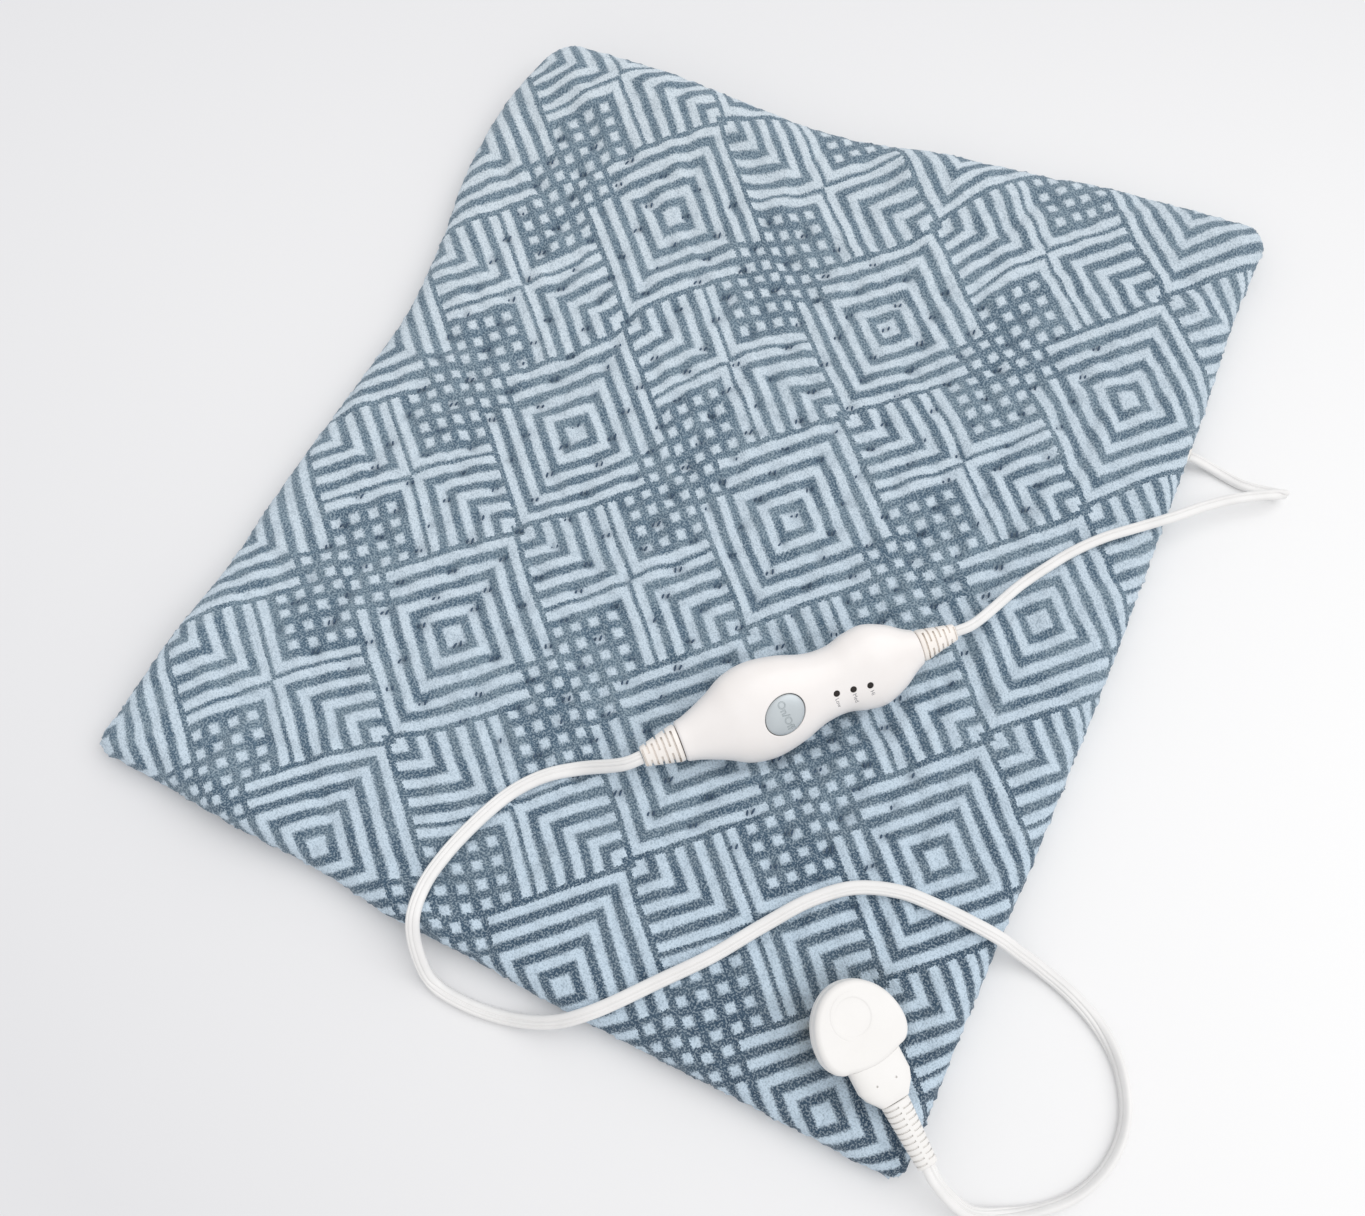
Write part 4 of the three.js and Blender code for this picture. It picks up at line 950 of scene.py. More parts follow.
@dataclass(frozen=True)
class Lead:
    """A flat moulded lead: its route, its section and how it turns along the way."""

    name: str
    node: str
    width: float
    thickness: float
    grooves: tuple[float, ...]
    cells: int
    route: tuple[tuple[float, float, float], ...]
    rolls: tuple[tuple[float, float], ...] = ((0.0, 0.0), (1.0, 0.0))
    raises: tuple[tuple[float, float], ...] = ((0.0, 0.0), (1.0, 0.0))
    groove_depth: float = 0.4
    groove_reach: float = 0.2
    twist_reach: float = 45.0
    squareness: float = 3.2
    half_sides: int = 30

    def outline(self) -> Array:
        """Gives the section's outline, with its grooves, as thickness and width from the middle."""
        angle = np.linspace(0, math.pi, self.half_sides + 1)[:-1]
        aside = np.cos(angle)
        rise = (1 - np.abs(aside) ** self.squareness) ** (1 / 2)
        y = aside * self.width / 2
        z = rise * self.thickness / 2
        for groove in self.grooves:
            z = z - self.groove_depth * np.exp(-(((y - groove) / self.groove_reach) ** 2)) * rise
        back = z[::-1]
        first = np.stack([z, y], axis=1)
        second = np.stack([-np.roll(back, 1), np.roll(y[::-1], 1)], axis=1)
        second[0] = (0.0, -self.width / 2)
        first[0] = (0.0, self.width / 2)
        return np.vstack([first, second])

    def line(self, start: Array, finish: Array) -> Array:
        """Gives the middle line, between the straight stretches at both ends.

        Args:
            start: Two points of the straight stretch where it starts.
            finish: Two points of the straight stretch where it ends.

        Returns:
            Points in millimetres, one to a row.
        """
        return through(np.vstack([start, np.array(self.route), finish]), self.cells)

    def frames(self, line: Array, ups: Sequence[Array]) -> tuple[Array, Array]:
        """Turns the section along the line: level where it lies, and with what holds it at each end.

        Args:
            line: Middle line.
            ups: The holder's upward direction at each end.

        Returns:
            Directions of the thickness and of the width at each point.
        """
        tangents = unit(np.gradient(line, axis=0))
        above = np.array([0.0, 0.0, 1.0])
        last = above
        normals = []
        for tangent in tangents:
            carried = unit(last - tangent * last.dot(tangent))
            flat = unit(above - tangent * tangent[2]) * (-1 if carried[2] < 0 else 1)
            share = max(0.0, 1 - 2 * abs(tangent[2]))
            last = unit(carried + share * (flat - carried))
            normals.append(last)
        normals = np.array(normals)
        reach = travelled(line)
        share = reach / reach[-1]
        roll = np.radians(station_values(*np.array(self.rolls).T, share))
        for end, up_here in zip((0, -1), ups):
            wanted = unit(up_here - tangents[end] * up_here.dot(tangents[end]))
            across = np.cross(tangents[end], normals[end])
            turn = math.atan2(wanted.dot(across), wanted.dot(normals[end]))
            turn = turn - math.copysign(math.pi, turn) if abs(turn) > math.pi / 2 else turn
            distance = reach if end == 0 else reach[-1] - reach
            roll = roll + turn * (1 - smooth_step(distance / self.twist_reach))
        across = np.cross(tangents, normals)
        turned = normals * np.cos(roll)[:, None] + across * np.sin(roll)[:, None]
        return turned, np.cross(tangents, turned)

    def build(self, start: Array, finish: Array, ups: Sequence[Array]) -> tuple[bpy.types.Object, Array]:
        """Makes the lead.

        Args:
            start: Two points of the straight stretch where it starts.
            finish: Two points of the straight stretch where it ends.
            ups: The holder's upward direction at each end.

        Returns:
            The piece and its middle line in millimetres.
        """
        line = self.line(start, finish)
        share = travelled(line) / travelled(line)[-1]
        normals, widths = self.frames(line, ups)
        line[:, 2] += station_values(*np.array(self.raises).T, share)
        outline = self.outline()
        rings = [
            spot + outline[:, :1] * normal + outline[:, 1:] * width
            for spot, normal, width in zip(line, normals, widths)
        ]
        return skin(self.name, rings, 60), line


# Pad


@dataclass
class PadCover:
    """The filled plush cover: outline, thickness, waves, dents, seam and stitches."""

    width: float = 316.4
    length: float = 380.4
    thickness: float = 13.5
    seam_height: float = 5.6
    edge_round: float = 16.0
    edge_power: float = 2.3
    near_corner: float = 6.0
    far_corner: float = 11.0
    cell: float = 1.45
    rim_cells: int = 13
    fill: float = 0.6
    left: tuple[float, ...] = (0, 0.014, 0.029, 0.033, 0.042, 0.053, 0.061, 0.051, 0.033, 0.035, 0.062)
    right: tuple[float, ...] = (0.004, 0.004, 0.003, 0.001, 0, 0, 0.003, 0.006, 0.01, 0.017, 0.016)
    near: tuple[float, ...] = (0.032, 0.028, 0.023, 0.021, 0.012, 0.01, 0.006, 0.004, 0.003, 0.001, 0)
    far: tuple[float, ...] = (0.09, 0.092, 0.091, 0.087, 0.078, 0.067, 0.049, 0.026, 0.011, 0.005, 0)
    waves: Rows = (
        (-0.27, 0.4, 0.19, 0.12, 0.96),
        (0.07, 0.46, 0.1, 0.09, 0.6),
        (-0.48, -0.33, 0.11, 0.08, 0.45),
        (-0.31, -0.47, 0.09, 0.06, 0.37),
        (-0.08, -0.49, 0.09, 0.05, 0.24),
        (0.47, 0.49, 0.13, 0.08, 0.3),
    )
    wave_floor: float = 0.09
    dents: Rows = ((61.7, -59.9, 47.2, -2, -9, 44, 19, 5), (115.6, -147.4, -37, 6, 0, 17, 15, 9.5))
    stitch_start: float = -116.8
    stitch_pitch: float = 15.0
    stitch_columns: int = 16
    row_start: float = 113.0
    row_pitch: float = 12.0
    stitch_rows: int = 20
    stitch_drift: tuple[float, float] = (0.5, 0.9)
    stitch_angle: float = 94.0
    stitch_gap: float = 0.8
    stitch_slant: float = 0.75
    thread_half: tuple[float, float] = (0.75, 1.3)
    thread_radius: float = 0.38
    thread_rise: float = 0.32
    thread_dip: float = 0.5
    thread_missing: float = 0.12
    thread_sides: int = 6
    thread_rings: int = 7
    dimple_reach: float = 3.1
    dimple_depth: float = 1.5
    # Reach of the painted shade round each stitch.
    stitch_shade_reach: float = 1.9
    pucker: float = 0.36
    pile: float = 0.14
    rim_pile: float = 0.42
    fuzz: float = 0.34
    print_drift: Rows = (
        (-105, 144, 0, 0), (-13, 144, 0, -9), (80, 144, -3, 1),
        (-152, 97, 1, -1), (-59, 97, -2, 2), (34, 97, 1, -9), (126, 97, 1, 1),
        (-105, 51, 4, -3), (-13, 51, -3, 1), (80, 51, 1, -1),
        (-152, 5, 3, 0), (-59, 5, 5, -5), (34, 5, -1, -3), (126, 5, 2, -1),
        (-105, -42, 2, 2), (-13, -42, 2, -2), (80, -42, 0, -2),
        (-152, -88, -1, 1), (-59, -88, 0, -1), (34, -88, 1, -2), (126, -88, 1, -2),
        (-105, -134, -5, 4), (-13, -134, 1, 0), (80, -134, 0, -1),
        (-152, -181, -3, 3), (-59, -181, -8, 5), (34, -181, -3, -1), (126, -181, -1, -1),
    )
    drift_reach: float = 34.0
    filling_cell: float = 5.0
    filling_frames: int = 20
    filling_pressure: float = 3.0
    filling_slack: float = 0.03
    filling_hold: float = 0.3
    filling_limit: float = 1.8
    spots: Array = field(default_factory=lambda: np.zeros((0, 2)))

    def lines(self, size: float) -> Array:
        """Gives the grid's shares over a side: close at both rims, even between them."""
        rim = self.edge_round * (1 - np.cos(np.linspace(0, math.pi / 2, self.rim_cells + 1)))
        cells = round((size - 2 * self.edge_round) / self.cell)
        middle = np.linspace(self.edge_round, size - self.edge_round, cells + 1)[1:-1]
        return np.concatenate([rim, middle, size - rim[::-1]]) / size

    def corner(self, share: Array, size: float, reach: Array | float) -> Array:
        """Gives how far a place is into the border of a side: one on the rim, nought beyond the reach."""
        return np.maximum(0, 1 - np.minimum(share, 1 - share) * size / reach)

    def plan(self, across: Array, along: Array) -> tuple[Array, Array]:
        """Gives the outline's plan, with round corners, before it is drawn out to size.

        Args:
            across: Shares across the pad.
            along: Shares along it.

        Returns:
            Places across and along, in millimetres.
        """
        places = np.linspace(0, 1, len(self.left))
        table = [np.array(values, float) for values in (self.left, self.right, self.near, self.far)]
        left, right = [station_values(places, values, along) for values in table[:2]]
        near, far = [station_values(places, values, across) for values in table[2:]]
        x = self.width * ((left - 0.5) * (1 - across) + (0.5 - right) * across)
        y = self.length * ((near - 0.5) * (1 - along) + (0.5 - far) * along)
        reach = np.where(along < 0.5, self.near_corner, self.far_corner)
        a = self.corner(across, self.width, reach)
        b = self.corner(along, self.length, reach)
        pull_x = reach * a * (1 - np.sqrt(1 - b * b / 2))
        pull_y = reach * b * (1 - np.sqrt(1 - a * a / 2))
        return x + np.where(across < 0.5, pull_x, -pull_x), y + np.where(along < 0.5, pull_y, -pull_y)

    def lift(self, x: Array, y: Array) -> Array:
        """Gives how far the underside is off the floor."""
        swell = np.zeros_like(x)
        for at_x, at_y, reach_x, reach_y, height in self.waves:
            dx = (x / self.width - at_x) / reach_x
            dy = (y / self.length - at_y) / reach_y
            swell += height * np.exp(-dx * dx - dy * dy)
        return self.thickness * np.maximum(0, swell - self.wave_floor)

    def dent(self, x: Array, y: Array) -> Array:
        """Gives how far the controller and the plug press the cloth down."""
        pressed = np.zeros_like(x)
        for at_x, at_y, yaw, ahead, aside, reach_ahead, reach_aside, depth in self.dents:
            turn = math.radians(yaw)
            u = (x - at_x) * math.cos(turn) + (y - at_y) * math.sin(turn) - ahead
            v = (y - at_y) * math.cos(turn) - (x - at_x) * math.sin(turn) - aside
            pressed = np.maximum(pressed, depth * np.exp(-((u / reach_ahead) ** 2) - (v / reach_aside) ** 2))
        return pressed

    def stitched(self) -> Array:
        """Gives the plan places of the stitches, a little uneven."""
        draw = np.random.default_rng(SEED)
        columns = self.stitch_start + self.stitch_pitch * np.arange(self.stitch_columns)
        rows = self.row_start - self.row_pitch * np.arange(self.stitch_rows)
        x, y = np.meshgrid(columns, rows, indexing="ij")
        x = x + draw.normal(0, self.stitch_drift[0], x.shape)
        y = y + draw.normal(0, self.stitch_drift[1], y.shape)
        return np.stack([x.ravel(), y.ravel()], axis=1)

    def drift(self, x: Array, y: Array) -> Array:
        """Gives how far the print has crept from its even cells, across and along."""
        pull = np.zeros((*x.shape, 2))
        total = np.full(x.shape, 1e-9)
        for at_x, at_y, dx, dy in self.print_drift:
            weight = np.exp(-((x - at_x) ** 2 + (y - at_y) ** 2) / self.drift_reach**2)
            total += weight
            pull += weight[..., None] * np.array([dx, dy])
        return pull / total[..., None]

    def round_stitches(self, x: Array, y: Array, reach: float) -> Array:
        """Gives one at each stitch, falling to nought over a reach."""
        near_by = 3 * reach
        value = np.zeros_like(x)
        for at_x, at_y in self.spots:
            near = (np.abs(x - at_x) < near_by) & (np.abs(y - at_y) < near_by)
            dx = (x[near] - at_x) / reach
            dy = (y[near] - at_y) / reach
            value[near] += np.exp(-dx * dx - dy * dy)
        return value

    def dimples(self, x: Array, y: Array) -> Array:
        """Gives how far the stitches draw the cloth in."""
        return self.dimple_depth * self.round_stitches(x, y, self.dimple_reach)

    def rim_extra(self) -> tuple[Array, Array]:
        """Gives how much more cloth the rounded rim takes than its plan, by distance from the rim."""
        inward = np.linspace(0, 1, 400)
        rise = (self.thickness - self.seam_height) * self.fullness(inward)
        steps = np.hypot(np.diff(inward) * self.edge_round, np.diff(rise))
        arc = np.concatenate([[0], np.cumsum(steps)])
        return inward, (arc[-1] - arc) - self.edge_round * (1 - inward)

    def fullness(self, inward: Array) -> Array:
        """Gives the share of the full height at a distance from the rim, as a rounded edge."""
        return (1 - (1 - inward) ** self.edge_power) ** (1 / self.edge_power)

    def fitted_plan(self, across: Array, along: Array) -> tuple[Array, Array]:
        """Gives the plan drawn out to the pad's full size, for the same shares as the plan."""
        x, y = self.plan(across, along)
        x = (x - (x.min() + x.max()) / 2) * self.width / np.ptp(x)
        y = (y - (y.min() + y.max()) / 2) * self.length / np.ptp(y)
        return x, y

    def filled(self, across: Array, along: Array) -> Array:
        """Lets the filling push the upper cloth out between its stitches, by a cloth simulation.

        Args:
            across: The grid's shares across the pad.
            along: The grid's shares along it.

        Returns:
            How far each place of the grid rises, in millimetres.
        """
        cells = [round(size / self.filling_cell) for size in (self.width, self.length)]
        even = [np.linspace(0, 1, count + 1) for count in cells]
        x, y = self.fitted_plan(*np.meshgrid(*even, indexing="ij"))
        start = np.dstack([x, y, self.height_at(x, y)])
        number = np.arange(x.size).reshape(x.shape)
        faces = np.stack([number[:-1, :-1], number[1:, :-1], number[1:, 1:], number[:-1, 1:]], axis=-1)
        sheet = mesh_piece("filling", start.reshape(-1, 3), faces.reshape(-1, 4).tolist())
        held = {int(i) for i in (*number[0], *number[-1], *number[:, 0], *number[:, -1])}
        held |= {int(np.argmin((x - at_x) ** 2 + (y - at_y) ** 2)) for at_x, at_y in self.spots}
        group = sheet.vertex_groups.new(name="held")
        group.add(number.ravel().tolist(), self.filling_hold, "REPLACE")
        group.add(sorted(held), 1.0, "REPLACE")
        step = sheet.modifiers.new("filling", "CLOTH")
        step.settings.vertex_group_mass = "held"
        step.settings.use_pressure = True
        step.settings.uniform_pressure_force = self.filling_pressure
        step.settings.shrink_min = -self.filling_slack
        step.settings.effector_weights.gravity = 0.0
        scene = bpy.context.scene
        for frame in range(1, self.filling_frames + 1):
            scene.frame_set(frame)
        settle(sheet)
        scene.frame_set(1)
        moved = np.zeros(x.size * 3)
        sheet.data.vertices.foreach_get("co", moved)
        rise = moved.reshape(-1, 3)[:, 2].reshape(x.shape) / MM - start[..., 2]
        bpy.data.objects.remove(sheet)
        rise = np.clip(rise, -self.filling_limit, self.filling_limit)
        LOG.info("filling: rises by %.2f mm at most, %.2f mm on average", rise.max(), rise.mean())
        return spread_weights(cells[0] + 1, across) @ rise @ spread_weights(cells[1] + 1, along).T

    def surface(self) -> tuple[Array, Array, Array]:
        """Works out both faces of the cover.

        Returns:
            Points of the upper face, points of the underside, and the flat cloth's places,
            each over the grid's two directions.
        """
        lines = (self.lines(self.width), self.lines(self.length))
        shares = np.meshgrid(*lines, indexing="ij")
        x, y = self.fitted_plan(*shares)
        a = self.corner(shares[0], self.width, self.edge_round)
        b = self.corner(shares[1], self.length, self.edge_round)
        inward = 1 - np.sqrt(np.clip(a * a + b * b - a * a * b * b, 0, 1))
        full = self.fullness(inward)
        draw = np.random.default_rng(SEED + 1)
        lift = self.lift(x, y)
        pucker = self.pucker * (ripples(x, y, 24, 3) + 0.6 * ripples(x, y, 9, 4))
        tufts = draw.normal(0, 1, x.shape) * (self.rim_pile + (self.pile - self.rim_pile) * full)
        rise = self.thickness - self.seam_height - self.dent(x, y) - self.dimples(x, y) + pucker
        rise = rise + self.filled(*lines)
        top = lift + self.seam_height + rise * full + tufts * np.sqrt(full)
        low = lift + self.seam_height * (1 - full) + np.abs(tufts) * 0.5 * np.sqrt(full)
        sides = [part * np.where(share < 0.5, -1, 1) for part, share in zip((a, b), shares)]
        outward = unit(np.stack(sides, axis=-1) + 1e-9)
        extra = np.interp(inward, *self.rim_extra())
        flat = np.stack([x, y], axis=-1)
        cloth = flat + outward * extra[..., None] - self.drift(x, y)
        fuzz = draw.normal(0, self.fuzz, x.shape) * (1 - full)
        shifted = flat + outward * fuzz[..., None]
        upper = np.dstack([shifted, top])
        lower = np.dstack([shifted, low])
        return upper, lower, cloth

    def build(self) -> bpy.types.Object:
        """Makes the cover as one closed mesh with a map of the flat cloth.

        Returns:
            The cover.
        """
        self.spots = self.stitched()
        upper, lower, cloth = self.surface()
        columns, rows = upper.shape[:2]
        number = np.arange(columns * rows).reshape(columns, rows)
        under = np.full((columns, rows), -1)
        inner = number[1:-1, 1:-1]
        under[1:-1, 1:-1] = columns * rows + np.arange(inner.size).reshape(inner.shape)
        edge = under < 0
        under[edge] = number[edge]
        points = np.vstack([upper.reshape(-1, 3), lower[1:-1, 1:-1].reshape(-1, 3)])
        tops = np.stack([number[:-1, :-1], number[1:, :-1], number[1:, 1:], number[:-1, 1:]], axis=-1)
        lows = np.stack([under[:-1, :-1], under[:-1, 1:], under[1:, 1:], under[1:, :-1]], axis=-1)
        faces = np.vstack([tops.reshape(-1, 4), lows.reshape(-1, 4)])
        piece = mesh_piece("pad_cloth", points, faces.tolist())
        flat = np.vstack([cloth.reshape(-1, 2), cloth[1:-1, 1:-1].reshape(-1, 2)])
        corners = np.zeros(len(piece.data.loops), np.int32)
        piece.data.loops.foreach_get("vertex_index", corners)
        layer = piece.data.uv_layers.new(name="cloth")
        layer.data.foreach_set("uv", (flat[corners] / 100).astype(np.float32).ravel())
        # Painted shade: a mask at each stitch on the upper face, which the plush's material reads to darken
        # the dimples.
        stitch_shade = np.zeros(len(points))
        stitch_shade[: columns * rows] = self.round_stitches(upper[..., 0], upper[..., 1], self.stitch_shade_reach).ravel()
        shade_layer = piece.data.attributes.new("stitch_shade", "FLOAT", "POINT")
        shade_layer.data.foreach_set("value", stitch_shade.astype(np.float32))
        PlushPrint().dress(piece)
        return piece

    def height_at(self, x: Array, y: Array) -> Array:
        """Gives the upper face's height well inside the rim, without the pile."""
        return self.lift(x, y) + self.thickness - self.dent(x, y) - self.dimples(x, y)

    def threads(self, finish: HardFinish) -> bpy.types.Object:
        """Makes the stitches that show: pairs of short slanted threads at each place.

        Args:
            finish: Finish of the thread.

        Returns:
            All the threads as one piece.
        """
        draw = np.random.default_rng(SEED + 2)
        rings = []
        faces = []
        sides = self.thread_sides
        turn = np.arange(sides) * math.tau / sides
        spans = np.linspace(-1, 1, self.thread_rings)
        for at_x, at_y in self.spots:
            for side in (-self.stitch_gap, self.stitch_gap):
                angle = math.radians(draw.normal(self.stitch_angle, 10))
                half = draw.uniform(*self.thread_half)
                if draw.random() < self.thread_missing:
                    continue
                middle = np.array([at_x + side, at_y + side * self.stitch_slant + draw.normal(0, 0.2)])
                along = np.array([math.cos(angle), math.sin(angle)])
                aside = np.array([-along[1], along[0], 0.0])
                base = len(rings) * sides
                for span in spans:
                    spot = middle + along * half * span
                    rise = self.thread_rise - self.thread_dip * span * span
                    height = self.height_at(spot[:1], spot[1:])[0] + rise
                    wide = self.thread_radius * math.sqrt(max(0.05, 1 - span * span))
                    rings.append(
                        np.array([*spot, height])
                        + np.outer(np.cos(turn) * wide, aside)
                        + np.outer(np.sin(turn) * wide, [0, 0, 1])
                    )
                faces += [[base + i for i in face] for face in tube_faces(len(spans), sides)]
        piece = mesh_piece("pad_stitches", np.vstack(rings), faces)
        finish.dress(piece)
        return piece

    def dress(self, finishes: Finishes, nodes: dict[str, bpy.types.Object]) -> None:
        """Makes the cover and its stitches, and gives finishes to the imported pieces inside.

        Args:
            finishes: Every finish of the object.
            nodes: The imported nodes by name.
        """
        cloth = self.build()
        hand_over(cloth, "pad", ["pad_cover_top", "pad_cover_bottom"])
        hand_over(self.threads(finishes.thread), "pad")
        finishes.felt.dress(nodes["heating_sheet"])
        finishes.sleeve.dress(nodes["heating_wire"])
        finishes.copper.dress(nodes["thermostat_1"], nodes["thermostat_2"])
        finishes.relief.dress(nodes["pad_lead_entry"])


@dataclass(frozen=True)
class ReliefShape:
    """Sizes of a slotted strain relief, drawn along X from what it stands on outwards."""

    length: float
    width: float
    height: float
    end_width: float
    end_height: float
    collar: float
    slot: float
    pitch: float
    spine: float
    shoulder: float = 0.6
    core: tuple[float, float] = (0.84, 0.78)
    rounding: float = 0.45
    sides: int = 56
    power: float = 0.8

    def body(self, name: str) -> bpy.types.Object:
        """Makes the tapered body with a collar, before its slots."""
        quarter = np.linspace(0, math.pi / 2, 5)
        stops = [
            (self.rounding * (1 - math.sin(q)), self.rounding * (1 - math.cos(q))) for q in quarter[::-1]
        ]
        places = [(x, 0.0, inset) for x, inset in stops]
        taper = np.linspace(self.collar, self.length - self.rounding, 9)
        places += [(x, (x - self.collar) / (self.length - self.collar), 0.0) for x in taper]
        places += [(self.length - x, 1.0, inset) for x, inset in stops[::-1]][1:]
        rings = []
        for x, share, inset in places:
            wide = self.width + (self.end_width - self.width) * share
            high = self.height + (self.end_height - self.height) * share
            half = high / 2 - inset
            rings.append(rounded_section(x, wide / 2 - inset, half, half, self.sides, self.power))
        return skin(name, rings, 40)

    def cut(self, piece: bpy.types.Object, boxes: Sequence[tuple[Sequence[float], Sequence[float]]]) -> None:
        """Cuts boxes, given by two corners, out of the body, down to its slimmer core."""
        boolean(piece, [box_mesh("slot", low, high) for low, high in boxes])
        aside, above = np.array(self.core) / 2
        rings = [
            rounded_section(x, wide * aside, high * above, high * above, self.sides, self.power)
            for x, wide, high in (
                (self.rounding, self.width, self.height),
                (self.length - self.rounding, self.end_width, self.end_height),
            )
        ]
        boolean(piece, [skin("relief_core", rings)], "UNION")
        smooth(piece, 40)

    def crossed(self, name: str) -> bpy.types.Object:
        """Makes a relief with slots from above and below and, on every second place, from both flanks.

        Args:
            name: Name of the piece.

        Returns:
            The relief along X.
        """
        piece = self.body(name)
        boxes = []
        for i in range(math.ceil((self.length - self.collar - self.slot) / self.pitch)):
            x = self.collar + self.slot / 2 + i * self.pitch
            half = self.slot / 2
            taper = (x - self.collar) / (self.length - self.collar)
            reach = (self.width + (self.end_width - self.width) * taper) / 2 - self.shoulder
            for side in (-1, 1):
                near, far = sorted((side * self.spine / 2, side * self.width))
                if i % 2:
                    boxes.append(((x - half, near, -self.height), (x + half, far, self.height)))
                else:
                    boxes.append(((x - half, -reach, near), (x + half, reach, far)))
        self.cut(piece, boxes)
        return piece

    def flanked(self, name: str) -> bpy.types.Object:
        """Makes a relief with slots from either flank in turn.

        Args:
            name: Name of the piece.

        Returns:
            The relief along X.
        """
        piece = self.body(name)
        boxes = []
        for i in range(math.floor(2 * (self.length - self.collar - self.slot) / self.pitch)):
            x = self.collar + i * self.pitch / 2 + self.slot / 2
            near, far = sorted(((1, -1)[i % 2] * -self.spine / 2, (1, -1)[i % 2] * -self.width))
            boxes.append(((x - self.slot / 2, near, -self.height), (x + self.slot / 2, far, self.height)))
        self.cut(piece, boxes)
        return piece


def lettering(
    name: str, text: str, cap_height: float, place: Callable[[Array], Array], grow: float = 0.0
) -> bpy.types.Object:
    """Makes raised letters that follow a surface.

    Args:
        name: Name of the piece.
        text: What it says.
        cap_height: Height of a capital in millimetres.
        place: Takes letter points to the piece's frame. Their third value is nought underneath
            and one on top.
        grow: How far the strokes are thickened, as a share of the letters' size.

    Returns:
        The letters as one mesh.
    """
    curve = bpy.data.curves.new(name, "FONT")
    curve.body = text
    curve.align_x = "CENTER"
    curve.align_y = "CENTER"
    curve.extrude = 0.5
    curve.offset = grow
    curve.resolution_u = 6
    source = bpy.data.objects.new(name + "_source", curve)
    bpy.context.scene.collection.objects.link(source)
    bpy.context.view_layer.update()
    mesh = bpy.data.meshes.new_from_object(source.evaluated_get(bpy.context.evaluated_depsgraph_get()))
    bpy.data.objects.remove(source)
    points = np.zeros(len(mesh.vertices) * 3)
    mesh.vertices.foreach_get("co", points)
    points = points.reshape(-1, 3)
    points[:, :2] *= cap_height / CAPITAL_SHARE
    points[:, 2] += 0.5
    faces = [list(face.vertices) for face in mesh.polygons]
    return mesh_piece(name, place(points), faces, 30)


# Controller


